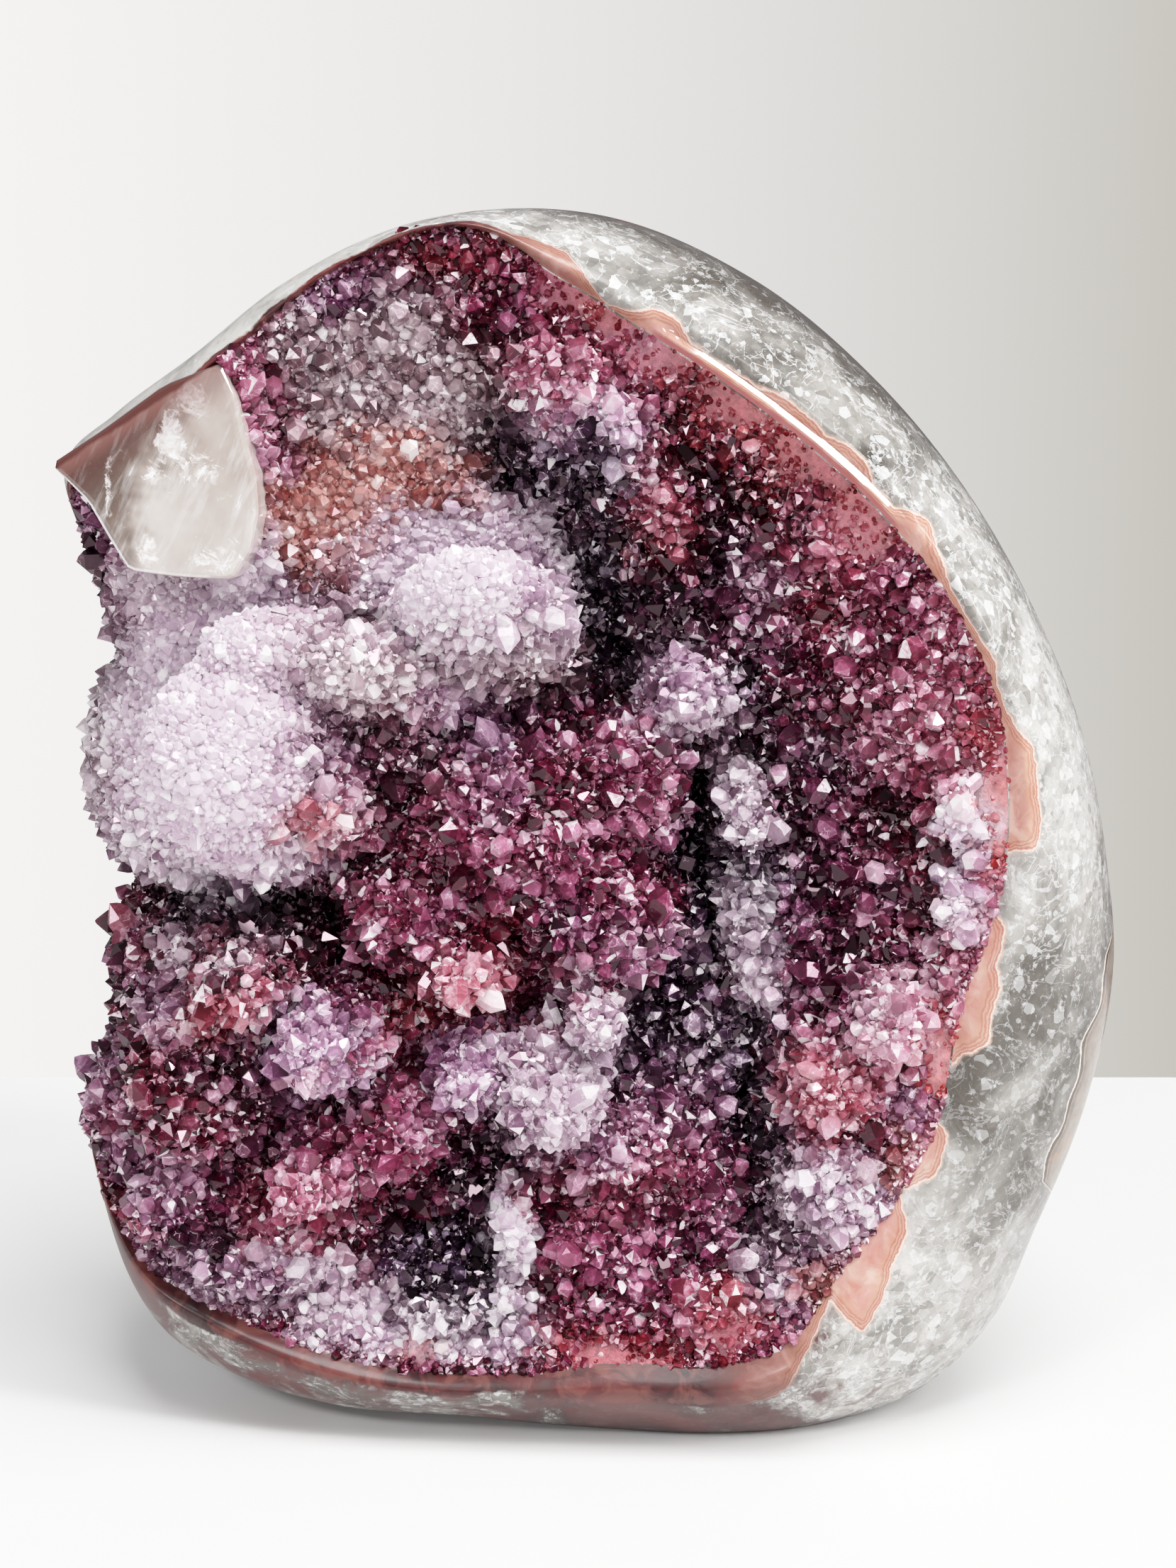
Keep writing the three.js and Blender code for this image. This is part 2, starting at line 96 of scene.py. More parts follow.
# The rim's quartz, from 0 to 1: how milky it is, how facetted, how smoky at its outer edge, and how
# far red agate stains it.
MILK = [
    [0, 0.75], [11, 0.95], [30, 0.8], [42, 0.55], [53, 0.25], [64, 0.3], [74, 0.2], [90, 0.4], [105, 0.9],
    [140, 0.9], [180, 0.5], [215, 0.4], [232, 0.3], [250, 0.2], [270, 0.2], [281, 0.3], [292, 0.55],
    [307, 0.85], [318, 0.55], [327, 0.25], [346, 0.14],
]
MOSAIC = [
    [0, 0.8], [30, 1], [60, 1], [100, 0.9], [120, 0.2], [150, 0.2], [215, 0.5], [250, 0.7], [290, 0.9],
    [305, 0.9], [318, 0.5], [330, 0.35], [346, 0.5],
]
SMOKE = [
    [0, 0.5], [30, 0.45], [45, 0.8], [60, 1], [80, 1], [97, 0.8], [110, 0.1], [140, 0.2], [180, 0.5],
    [230, 0.6], [270, 0.5], [300, 0.3], [318, 0.4], [340, 0.8],
]
STAIN = [
    [0, 0.05], [70, 0.05], [92, 0.25], [110, 0.15], [140, 0.1], [180, 0.5], [205, 1], [222, 0.9],
    [232, 0.6], [243, 0.62], [256, 0.7], [266, 0.9], [278, 0.95], [290, 0.75], [301, 0.2], [330, 0.05],
]
# How far wine-red agate colours the band.
WINE = [
    [0, 0], [40, 0.05], [80, 0.2], [92, 0.5], [104, 1], [150, 1], [225, 1], [240, 1], [262, 1],
    [278, 1], [290, 0.7], [301, 0.2], [330, 0.05],
]
# The wavy edge of old rind at the lower right: degrees and how far it reaches in front of the widest
# section, in mm along the surface.
RIND = [(321, -6), (324.5, 17), (333, 17.5), (342, 15.5), (350, 12), (358, -6)]
# Glassy lip along the crust's edge at the upper right: its angles, and its section as distances from
# the edge and heights over it in mm. The stretch from LIP_TOP to LIP_FOOT is a flat bevel.
LIP_ANGLES = (49.0, 85.0)
LIP_TOP, LIP_FOOT, LIP_END = 0.8, 2.0, 3.5
LIP_HEIGHT = 1.3
LIP_SLOPE = math.tan(math.radians(29.7))

# Lumps that the crust is grown over: middle x and z, front y, half sizes along x and z, colour.
LUMPS = {
    "pale_shoulder": (-53.6, 105, -38, 17.2, 21, "pale"),
    "pale_crown": (-47.5, 119.2, -34, 13.2, 10, "mist"),
    "pale_ledge": (-17.2, 127.8, -35, 15.6, 10.6, "pale"),
    "grey_saddle": (-33.1, 117.6, -33, 14.5, 9, "grey"),
    "top_mound": (-4.8, 157.1, -27, 9.3, 7.8, "rose"),
    "top_spur": (4.3, 149.8, -26, 6.6, 6.3, "lilac"),
    "pendant": (9.7, 137.9, -22, 5.2, 6.7, "rose"),
    "heart": (-12, 92, -27, 20.8, 16.6, "raspberry"),
    "heart_right": (6.6, 99.2, -24, 10.4, 11.1, "plum"),
    "heart_left": (-27.6, 79.4, -26, 15.4, 9.6, "raspberry"),
    "heart_foot": (1.1, 77.2, -26, 12.7, 11.3, "raspberry"),
    "heart_brow": (-30.5, 104, -26, 9.3, 7.1, "lilac"),
    "lilac_knob": (14.4, 112.4, -23, 7.4, 6.8, "mist"),
    "ridge_high": (22.8, 94.2, -21, 4.4, 7.9, "lilac"),
    "ridge_mid": (22.2, 78, -20, 4.3, 8.6, "lilac"),
    "ridge_low": (25.4, 67, -20, 3.8, 5.8, "lilac"),
    "wall_high": (46.8, 107.3, -26, 8.2, 12, "rose"),
    "wall_mid": (34.2, 117.4, -19, 10.5, 9.9, "raspberry"),
    "wall_top": (23.2, 128.3, -17, 7.7, 6.6, "maroon"),
    "wall_low": (38.7, 74.7, -16, 11.4, 10.5, "plum"),
    "edge_bud_high": (52.6, 95.7, -29, 3.7, 6.6, "pale"),
    "edge_bud_mid": (52.2, 82.1, -29, 3.5, 5.8, "pale"),
    "edge_bud_low": (44.1, 64.9, -33, 6.8, 7.4, "pale"),
    "rose_right": (36, 55.1, -29, 9.7, 9.4, "rose"),
    "lilac_right": (35.1, 38.7, -30, 8.7, 9.9, "lilac"),
    "lilac_heel": (28.7, 29.1, -28, 6.2, 6.5, "lilac"),
    "coral_high": (-37.4, 96.7, -32, 7, 7.1, "rose"),
    "coral_left": (-52, 69.7, -31, 8.4, 7.4, "rose"),
    "coral_mid": (-18.6, 71.4, -29, 6.8, 6.3, "rose"),
    "coral_low": (-39.9, 59.8, -31, 9, 9, "lilac"),
    "left_foot": (-60.8, 53.3, -27, 11.7, 14.4, "maroon"),
    "left_heel": (-62.5, 33.5, -24, 10.2, 8.3, "plum"),
    "lilac_fan": (-5.5, 52.3, -31, 9.7, 9.6, "mist"),
    "white_knob": (1.1, 63.7, -31, 4.6, 5.4, "pale"),
    "lilac_mid": (-17.8, 54.8, -28, 6.7, 6, "lilac"),
    "rose_bud": (-42.3, 38.7, -30, 7.3, 6.1, "rose"),
    "plum_low": (-30.3, 45.4, -26, 9, 8.2, "raspberry"),
    "plum_mid": (5.6, 44.2, -24, 9.6, 10, "rose"),
    "plum_right": (14.8, 34.7, -24, 10.8, 10.7, "raspberry"),
    "sill_left": (-51, 25.3, -26, 13.6, 5, "mist"),
    "sill": (-21.4, 19.5, -30, 12.6, 4.8, "mist"),
    "sill_post": (-11.3, 28.5, -27, 2.9, 7.8, "pale"),
    "foot_rose": (19.2, 20.9, -29, 7, 6.2, "rose"),
    "foot_plum": (4.5, 25.9, -26, 10.8, 9.5, "raspberry"),
}
# Clefts between the lumps: half width, how deep they cut, and the line they follow in x and z.
CLEFTS = [
    (5, 11, [(-11.5, 148), (-3.5, 143), (2.3, 131.4), (4.7, 114)]),
    (2.4, 10, [(16.5, 98), (17.4, 86), (18, 72)]),
    (3.2, 10, [(25, 62), (24, 50), (27, 40), (26, 30)]),
    (6, 9, [(-26, 27), (-17, 25)]),
    (3.5, 8, [(-66, 79), (-48, 80), (-37, 78)]),
]
# Patches of colour on the crust: x, z, half sizes, colour, strength.
PATCHES = [
    # the upper left, above the two pale lumps
    (-46, 158, 5, 6, "magenta", 3), (-43, 150, 4, 6, "magenta", 3), (-42, 144, 3, 3, "lilac", 2),
    (-31, 168, 10, 5, "mauve", 3), (-25, 164, 6, 6, "grey", 2.5), (-15, 165, 6, 8, "raspberry", 3),
    (-20, 171, 12, 3, "rosewood", 4), (-28, 156, 14, 8, "grey", 8), (-19, 148, 9, 4, "grey", 3),
    (-34, 148, 6, 5, "grey", 2), (-16, 156, 3.5, 5, "maroon", 3), (-35, 139, 9, 8, "salmon", 5),
    (-26, 143, 9, 5, "salmon", 4), (-37, 131, 6, 6, "salmon", 4), (-38, 126, 4, 2.5, "maroon", 2),
    (-20, 140, 5, 3, "salmon", 2), (-7, 164, 6, 8, "raspberry", 3), (-3, 167, 4, 5, "glaze", 2.5),
    (2, 164, 4, 4, "glaze", 4), (-5, 157, 7, 6, "rose", 3), (5, 156, 6, 5, "rose", 3),
    (-3, 149, 9, 4, "lilac", 3),
    # the pale lumps and the grey crystals round them
    (-54, 106, 19, 26, "mist", 4), (-54.5, 107.5, 15, 23, "pale", 9), (-19, 127, 17, 12, "mist", 4),
    (-20, 129, 13.5, 7.5, "pale", 8), (-30, 117, 11, 5, "grey", 4), (-12, 116, 9, 5, "grey", 4),
    (-5, 125, 4, 9, "mist", 3), (-17, 112, 6, 3, "lilac", 3), (-71, 105, 4, 12, "grey", 4),
    (-71, 134, 5, 9, "plum", 9), (-67, 121, 5, 6, "plum", 9), (-58, 127, 7, 3, "grey", 4),
    # the dark cleft right of them
    (-10, 148, 4, 5, "dark", 6), (-4, 141, 8, 5, "slate", 4), (1, 146, 4, 4, "ink", 4),
    (4, 139, 3, 7, "ink", 4), (-2, 134, 4, 4, "plum", 3), (2, 127, 5, 8, "slate", 5),
    (4, 116, 4, 5, "ink", 4), (-1, 112, 7, 3, "plum", 2),
    # the right of it, up to the crest
    (7, 141, 4, 5, "rose", 3), (11, 134, 6, 6, "rosewood", 4), (14, 147, 6, 7, "maroon", 4),
    (11, 157, 7, 3, "glaze", 3), (21, 152, 10, 5, "glaze", 5), (30, 145, 8, 6, "glaze", 5),
    (37, 138, 5, 7, "glaze", 5), (26, 139, 9, 7, "maroon", 4), (34, 133, 6, 6, "rose", 2),
    (16, 129, 6, 6, "dark", 5), (14, 123, 7, 5, "dark", 3), (26, 127, 6, 4, "lilac", 2),
    (24, 120, 8, 5, "plum", 3), (31, 124, 7, 5, "rosewood", 3), (42, 124, 5, 7, "magenta", 4),
    (38, 115, 8, 5, "magenta", 3), (23, 111, 4, 4, "ink", 4), (26, 104, 6, 8, "dark", 3),
    (38, 108, 10, 5, "maroon", 3), (34, 104, 4, 3, "lilac", 1.5), (50, 109, 6, 10, "rose", 5),
    (55, 104, 4, 9, "coral", 2), (12, 112, 8, 6, "lilac", 3), (18, 107, 3, 4, "mist", 3),
    (14, 104, 3, 4, "dark", 3),
    # the heart of the hollow
    (-37, 106, 6, 4, "plum", 2), (-26, 107, 9, 4, "maroon", 4), (-34, 103, 4, 3, "lilac", 2),
    (-38, 96, 4, 5, "coral", 3), (-25, 99, 9, 6, "maroon", 3), (-17, 107, 7, 5, "lilac", 5),
    (3, 106, 6, 5, "magenta", 3), (-6, 107, 5, 3.5, "plum", 4), (-24, 91, 6, 4, "magenta", 3),
    (-12, 99, 5, 4, "mauve", 2), (-8, 89, 10, 8, "raspberry", 2), (8, 99, 6, 6, "magenta", 2),
    (-1, 99, 4, 5, "maroon", 3), (-12, 79, 6, 4, "rosewood", 2), (5, 86, 8, 7, "raspberry", 2),
    (0, 79, 7, 5, "plum", 5), (9, 76, 5, 5, "mauve", 2), (-27, 75, 7, 5, "raspberry", 3),
    (17, 92, 3, 7, "ink", 7), (22, 95, 4, 7, "mist", 8), (25.5, 84, 4.5, 5, "ink", 11),
    (17, 79, 3, 9, "ink", 7), (23, 77, 4, 8, "mist", 8), (24.5, 69, 3, 4, "mist", 4),
    (14, 69, 4, 4, "ink", 3), (34, 89, 10, 11, "plum", 4), (42, 90, 6, 11, "maroon", 5),
    (46.5, 88, 3, 9, "maroon", 5),
    # the right edge and the lower right
    (53, 94, 4, 7, "pale", 5), (58, 92, 3, 9, "coral", 4), (56, 80, 3, 9, "pink", 6),
    (53, 70, 3, 6, "pink", 5), (49, 47, 3, 7, "pink", 6), (42, 33, 4, 5, "pink", 5),
    (57, 110, 3, 8, "blush", 5), (50, 123, 3, 7, "rose", 5), (52, 82, 4, 4, "pale", 4),
    (54, 75, 5, 5, "rose", 4), (44, 65, 6, 7, "pink", 6), (49, 62, 3.5, 6, "coral", 7),
    (36, 55, 7, 6, "blush", 4), (46, 54, 4, 4, "lilac", 3), (41, 47, 5, 4, "raspberry", 3),
    (35, 40, 8, 8, "mist", 5), (38, 32, 5, 4, "rosewood", 3), (46, 46, 4, 6, "salmon", 3),
    (25, 27, 4, 4, "mist", 2), (34, 27, 4, 4, "salmon", 3), (22, 61, 5, 6, "slate", 3),
    (24, 50, 4, 8, "ink", 4), (27, 37, 3.5, 10, "dark", 4), (9, 61, 9, 7, "slate", 2),
    (10, 52, 9, 7, "mauve", 2),
    # the lower left and the bottom
    (-5, 54, 8, 7, "mist", 4), (1, 46, 6, 5, "lilac", 3), (1, 64, 4, 7, "mist", 5),
    (-18, 70, 6, 5, "blush", 4), (-26, 66, 4, 4, "rosewood", 4), (-53, 67, 6, 5, "blush", 4),
    (-59, 71, 4, 4, "mist", 3), (-63, 65, 4, 4, "lilac", 3), (-40, 58, 8, 7, "lilac", 4),
    (-40, 57, 4, 3, "blush", 3), (-27, 58, 5, 5, "magenta", 3), (-17, 58, 6, 5, "lilac", 3),
    (-60, 56, 10, 8, "maroon", 8), (-74, 56, 4, 9, "mauve", 4), (-67, 51, 4, 4, "mauve", 4),
    (-63, 47, 9, 6, "magenta", 3), (-64, 41, 8, 4, "mauve", 3), (-43, 37, 7, 6, "rose", 4),
    (-46, 44, 4, 4, "plum", 3), (-30, 45, 8, 8, "raspberry", 2), (-15, 43, 4, 6, "dark", 4),
    (-15, 52, 4, 4, "mauve", 3), (-20, 28, 10, 6, "ink", 5), (-12, 26, 2.5, 8, "pale", 5),
    (-11.5, 33, 3, 5, "pale", 7), (-52, 27, 12, 3, "mauve", 4), (-56, 23, 8, 2, "mist", 3),
    (-39, 24, 5, 6, "mist", 4), (-23, 18, 13, 4, "pale", 5), (-68, 33, 4, 3, "rosewood", 3),
    (-58, 31, 6, 2.5, "dark", 2), (-50, 78, 16, 4, "dark", 5), (-42, 74, 8, 4, "maroon", 3),
    (-66, 76, 5, 6, "rosewood", 3), (-66, 69, 5, 5, "plum", 3), (2, 24, 10, 8, "raspberry", 2),
    (16, 34, 8, 7, "plum", 2), (4, 16, 8, 4, "glow", 5), (20, 21, 5, 5, "glow", 5),
    (-25, 15, 4, 2, "coral", 3),
]
# Crystal colours as they look, in sRGB 0-255.
COLOURS = {
    "pale": (226, 212, 224), "mist": (192, 173, 187), "grey": (180, 163, 168),
    "lilac": (175, 142, 168), "rose": (170, 106, 127), "magenta": (147, 79, 105),
    "mauve": (137, 97, 125), "blush": (184, 112, 124), "rosewood": (134, 54, 66),
    "raspberry": (124, 52, 80), "plum": (100, 45, 73), "maroon": (94, 31, 48),
    "slate": (86, 70, 90), "dark": (55, 15, 38), "ink": (28, 20, 42), "coral": (200, 112, 112),
    "pink": (208, 162, 178), "salmon": (180, 131, 125), "glaze": (158, 77, 81),
    "glow": (160, 74, 82), "violet": (92, 62, 94),
}
# Even, fine-grained ground: middle x and z, half sizes, how even it is.
EVEN = [
    (-54.5, 107, 18, 24, 1), (-20, 129, 15, 9, 1), (-47.5, 120, 12, 9, 0.9), (-32, 117, 12, 7, 0.4),
    (21, 151, 9, 5, 0.6), (30, 145, 8, 6, 0.6), (36, 138, 6, 7, 0.5), (-34, 138, 12, 8, 0.85),
    (-25, 150, 12, 8, 0.4),
]
# Glazed ground, where few crystals grow: middle x and z, half sizes.
GLAZED = [
    (10, 158, 8, 4), (21, 152, 10, 5.5), (31, 145, 8, 6.5), (38, 137, 5.5, 8), (-3, 168, 6, 5),
    (3, 163, 5, 4), (4, 15, 9, 3.5), (21, 19, 6, 4.5), (-25, 14, 4, 2.5), (49, 61, 3.5, 6),
    (57, 98, 3, 10),
]

WINDOW = [
    (-70.8, 143.6), (-63.2, 148.3), (-54.2, 154.4), (-45.9, 157.4), (-43.9, 152.4), (-42.8, 147.0),
    (-41.6, 142.5), (-41.3, 137.4), (-42.4, 132.0), (-45.1, 127.9), (-52.9, 128.2), (-60.0, 129.0),
    (-62.6, 133.1), (-65.7, 138.5),
]
WINDOW_FRONT = -24.0
WINDOW_DEPTH = 21.0
# Its section: how far it draws in, and how far behind its front.
WINDOW_SECTION = [(1.3, 0.0), (0.6, 0.08), (0.2, 0.35), (0, 0.9), (0, WINDOW_DEPTH)]
WINDOW_TURN = math.radians(9)
WINDOW_PIVOT = np.array([-58.0, -0.8, 0.0])
WINDOW_LEAN = math.radians(25)  # of the streaks in it

# Lines in x and z: the window's top edge as it shows at the front, and where its milky part begins.
WINDOW_TOP = [(-74.3, 143.6), (-49.7, 158.4)]
WINDOW_CREAM = [(-63, 128), (-55.5, 158)]
# White veils in the window: middle x and z, half sizes, strength.
WINDOW_VEILS = [
    (-54, 152, 3.5, 3, 0.8), (-57, 147, 2.2, 5, 0.8), (-60, 142, 2, 2.5, 0.4), (-54, 143, 5, 2.5, 0.55),
    (-60.5, 131.5, 2, 2.5, 0.8), (-50, 131, 5, 3, 0.5), (-66, 141, 0.8, 5, 0.6),
]
# Druzy climbs the window's right side along this line, in x and z, by a height and within a width.
SEAM = [(-50, 158), (-47.7, 152.4), (-46.6, 147), (-45.4, 142.5), (-45.1, 137.4), (-46.2, 132), (-49, 127.6)]
SEAM_LIFT = 4.8
SEAM_WIDTH = 4.5

# Layers of crystals: radius in mm and how much it varies, spacing in radii, room that they leave to
# earlier layers in radii, and lean.
LAYERS = {
    "tall": (1.0, 0.22, 3.0, 0.0, 0.34),
    "middle": (0.76, 0.26, 1.4, 1.0, 0.38),
    "fine": (0.45, 0.22, 1.25, 0.75, 0.42),
}
MOST_SPREAD = 2.2  # a crystal's size over the others of its layer, in standard deviations
CLEAR_SHARE = 0.08  # of the crystals
PAINTED_GLINT_FACETS, PAINTED_MIRROR_FACETS = 0.04, 0.015  # of the crystals' faces, with painted glints: pale ones, and near-white ones that stand for reflections of the lamps
PAINTED_GLINT_MARK, PAINTED_MIRROR_MARK = -0.3, -0.4  # how these painted glints are marked, where the others have 0 to 1
QUARTZ_SLOPE = math.radians(51.8)  # between a point's end faces and its foot
QUARTZ_IOR = 1.54

# How much a lump counts against a patch of strength 1, and the ground beside both.
LUMP_STRENGTH, GROUND_STRENGTH = 1.2, 0.3
CLEFT_WAVES, ZONE_WAVES = 1.4, 1.2  # how far clefts and zones of colour wander, in mm
LEFT_SIDE = 182  # degrees, in the middle of the side where the crust runs to the stone's outline
WHITE_QUARTZ = (240, 241, 242)
TABLE_SHADE = (236, 235, 234)

CRUST_RINGS = 80
SPOKES = 600
INNER_RINGS = 4
RIM_RINGS = 60
BACK_RINGS = 16
# In mm: the shell's points behind the crust count as this far past its edge and from the band, and
# where there is no rind in front, it begins this far behind the widest section.
INNER_RUN, NO_BAND, NO_RIND = 4.0, 30, -20
RIND_REACH = 9  # mm, past which the distance from the rind's edge isn't told apart
TOOTH_DEGREES, TOOTH_HEIGHT = 2.2, 0.9
# From the bare hollow to the shell behind it, in mm: at its edge, and how much more in its middle.
BOWL_GAP, BOWL_DEPTH = 1.5, 21
SHEET_PARING = 0.5
CANDIDATES = 420000
CRYSTAL_TRIANGLES = 185000  # in one piece, at most
POLYGON_REACH = 9  # how far a face's first polygon goes, in apothems
RELIEF_ROUNDS = 36
WAVE_COUNT = 14


def linear(colour):
    """sRGB 0-255 as linear numbers."""
    c = np.array(colour, float) / 255
    return np.where(c <= 0.04045, c / 12.92, ((c + 0.055) / 1.055) ** 2.4)


def around(knots, degrees):
    """Smooth value at angles in degrees, from knots that go once round."""
    angles, values = np.array(knots, float).T
    count = len(angles)
    a = np.mod(degrees, 360.0)
    i = np.searchsorted(angles, a, side="right") - 1
    (a0, v0), (a1, v1), (a2, v2), (a3, v3) = (
        (angles[(i + s) % count] + 360 * ((i + s) // count), values[(i + s) % count]) for s in (-1, 0, 1, 2)
    )
    span = a2 - a1
    t = (a - a1) / span
    rest = 1 - t
    slope1 = span * (v2 - v0) / (a2 - a0)
    slope2 = span * (v3 - v1) / (a3 - a1)
    ends = v1 * rest * rest * (1 + 2 * t) + v2 * t * t * (3 - 2 * t)
    return ends + slope1 * t * rest * rest - slope2 * t * t * rest


def at_polar(degrees, radius, y):
    """Points at angles from +X round the middle."""
    a = np.radians(degrees)
    x, y, z = np.broadcast_arrays(MIDDLE[0] + radius * np.cos(a), y, MIDDLE[2] + radius * np.sin(a))
    return np.stack([x, y, z], -1)


def polar(points):
    """Degrees from +X round the middle, and distances from it, as seen from the front."""
    x, z = points[:, 0] - MIDDLE[0], points[:, 2] - MIDDLE[2]
    return np.degrees(np.arctan2(z, x)), np.hypot(x, z)


def faded(points, x, z, rx, rz, steepness, squareness):
    """1 in the middle of an ellipse in x and z, down to 0 outside it."""
    away = ((points[:, 0] - x) / rx) ** 2 + ((points[:, 2] - z) / rz) ** 2
    return np.exp(-steepness * away**squareness)


def bare_hollow(degrees, share):
    """Points of the hollow without lumps, at angles and shares of the way out to the crust's edge."""
    face, edge = around(FACE_Y, degrees), around(EDGE_Y, degrees)
    wrap = np.clip((edge - face) / 28, 0, 1)
    across = share + (np.sin(share * np.pi / 2) - share) * wrap
    y = FLOOR_Y + (face - FLOOR_Y) * share**2 + (edge - face) * share**6
    return at_polar(degrees, around(CRUST_OUTLINE, degrees) * across, y)


def cleft_depth(points):
    """How deep the clefts cut at points, in mm."""
    depth = np.zeros(len(points))
    here = points[:, [0, 2]] + CLEFT_WAVES * np.c_[waves(points, 31, 8, 20), waves(points, 32, 8, 20)]
    for half_width, cut, line in CLEFTS:
        nearest = nearest_on(here, np.array(line, float))
        depth = np.maximum(depth, cut * np.exp(-((nearest / half_width) ** 2)))
    return depth


def nearest_on(points, line):
    """Distance of flat points to a line of segments."""
    nearest = np.full(len(points), np.inf)
    for start, end in zip(line, line[1:]):
        along = end - start
        t = np.clip((points - start) @ along / (along @ along), 0, 1)
        nearest = np.minimum(nearest, np.linalg.norm(points - start - t[:, None] * along, axis=1))
    return nearest


def druzy(degrees, share, paring=0.0):
    """Points of the druzy surface, or of the surface that lies the paring behind it."""
    ray = bare_hollow(degrees, share) - HEART
    length = np.linalg.norm(ray, axis=1)
    ray /= length[:, None]
    bare = length - paring
    reach = bare.copy()
    for x, z, front, rx, rz, _ in LUMPS.values():
        if min(rx, rz) < paring + 1:
            continue
        to_front = (front + paring - HEART[1]) / ray[:, 1]
        across = (HEART[0] + ray[:, 0] * to_front - x) / (rx - paring)
        up = (HEART[2] + ray[:, 2] * to_front - z) / (rz - paring)
        inside = np.clip(1 - across**2 - up**2, 0, None)
        lumpy = (inside > 0) & (to_front >= bare)
        end = np.where(lumpy, bare + (to_front - bare) * inside**LUMP_ROUNDNESS, 0)
        h = np.clip(BLEND - np.abs(reach - end), 0, None) / BLEND
        joined = np.maximum(reach, end) + h * h * BLEND / 4
        reach = np.where(end > reach - BLEND, joined, reach)
    surface = HEART + ray * reach[:, None]
    rise = reach - bare - cleft_depth(surface)
    surface = HEART + ray * (bare + rise * (1 - share**EDGE_FADE))[:, None]
    climb = np.clip(1 - nearest_on(surface[:, [0, 2]], np.array(SEAM, float)) / SEAM_WIDTH, 0, 1)
    surface[:, 1] -= SEAM_LIFT * climb**1.5
    return surface


def lattice(rings):
    """Degrees, shares and triangles of rings of 6, 12, 18 ... points round point 0."""
    degrees, shares = [0.0], [0.0]
    for k in range(1, rings + 1):
        degrees += [60 * j / k for j in range(6 * k)]
        shares += [k / rings] * (6 * k)
    start = [0] + [1 + 3 * k * (k - 1) for k in range(1, rings + 1)]
    faces = []
    for k in range(1, rings + 1):
        for side in range(6):
            for j in range(k):
                outer = start[k] + side * k + j
                after = start[k] + (side * k + j + 1) % (6 * k)
                inner = 0 if k == 1 else start[k - 1] + (side * (k - 1) + j) % (6 * (k - 1))
                faces.append((inner, outer, after))
                if j < k - 1:
                    faces.append((inner, after, start[k - 1] + (side * (k - 1) + j + 1) % (6 * (k - 1))))
    return np.array(degrees), np.array(shares), np.array(faces)


def inside_window(points, margin):
    """Which points lie inside the window's block, or within a margin of it."""
    line = np.array(WINDOW + WINDOW[:1], float)
    away = points - WINDOW_PIVOT
    x = WINDOW_PIVOT[0] + away[:, 0] * math.cos(WINDOW_TURN) - away[:, 1] * math.sin(WINDOW_TURN)
    z = points[:, 2]
    inside = np.zeros(len(points), bool)
    for (x0, z0), (x1, z1) in zip(line, line[1:]):
        crosses = (z0 > z) != (z1 > z)
        inside ^= crosses & (x < (x1 - x0) * (z - z0) / (z1 - z0 + 1e-9) + x0)
    reach = nearest_on(np.c_[x, z], line)
    return np.where(inside, reach > -margin, reach < margin)


def zone_colours(points):
    """Linear colours of the crust at points, from its lumps and patches, with painted shade by depth."""
    weight = np.full(len(points), GROUND_STRENGTH)
    total = np.outer(weight, linear(COLOURS["raspberry"]))
    zones = [(x, z, rx, rz, colour, LUMP_STRENGTH) for x, z, _, rx, rz, colour in LUMPS.values()]
    for x, z, rx, rz, colour, strength in zones + PATCHES:
        w = strength * faded(points, x, z, rx, rz, 1.3, 1.8)
        total += np.outer(w, linear(COLOURS[colour]))
        weight += w
    colours = total / weight[:, None]
    # Painted shade: the hollow is darker where it lies deep behind the rim's face, and in its clefts.
    degrees, away = polar(points)
    hollow = np.clip((points[:, 1] - around(FACE_Y, degrees) - 5) / 9, 0, 1)
    hollow *= np.clip(1.6 - away / 75, 0, 1)
    hollow = np.maximum(hollow, np.clip(cleft_depth(points) / 12, 0, 1))
    return colours * (1 - 0.5 * hollow)[:, None]


def new_mesh(name, points, faces, colours=None):
    """A piece in the scene, from points in mm and the colours that its points keep."""
    mesh = bpy.data.meshes.new(name)
    mesh.from_pydata(((points - ORIGIN) * MM).tolist(), [], faces)
    if colours is not None:
        tone = mesh.color_attributes.new("tone", "FLOAT_COLOR", "POINT")
        tone.data.foreach_set("color", np.c_[colours, np.ones(len(colours))].astype(np.float32).ravel())
    piece = bpy.data.objects.new(name, mesh)
    bpy.context.scene.collection.objects.link(piece)
    return piece


def set_values(piece, name, domain, values):
    """Keeps a number for each point or face of a piece."""
    made = piece.data.attributes.new(name, "FLOAT", domain)
    made.data.foreach_set("value", values.astype(np.float32).ravel())


def between_rings(rings, size):
    """Faces between rings of points that follow each other."""
    faces = []
    for a in range(0, (rings - 1) * size, size):
        b = a + size
        faces += [[a + j, b + j, b + (j + 1) % size, a + (j + 1) % size] for j in range(size)]
    return faces


# Crystals

def quartz_point(rng, prism):
    """Points and faces of a quartz point with an apothem of 1, or of its tip alone without a prism."""
    planes = [(np.array([0, 0, -1.0]), 0.8 if prism else 0.7)]
    top = prism + math.tan(QUARTZ_SLOPE) if prism else 0.9
    level, rise = math.sin(QUARTZ_SLOPE), math.cos(QUARTZ_SLOPE)
    for side in range(6):
        a = math.radians(60 * side)
        if prism:
            planes.append((np.array([math.cos(a), math.sin(a), 0]), rng.uniform(0.84, 1.14)))
        # A real point has three larger end faces and three smaller ones.
        sunk = rng.uniform(0.0, 0.1) if side % 2 == 0 else rng.uniform(0.02, 0.42)
        planes.append((np.array([level * math.cos(a), level * math.sin(a), rise]), rise * (top + sunk)))
    return hull_of_planes(planes)


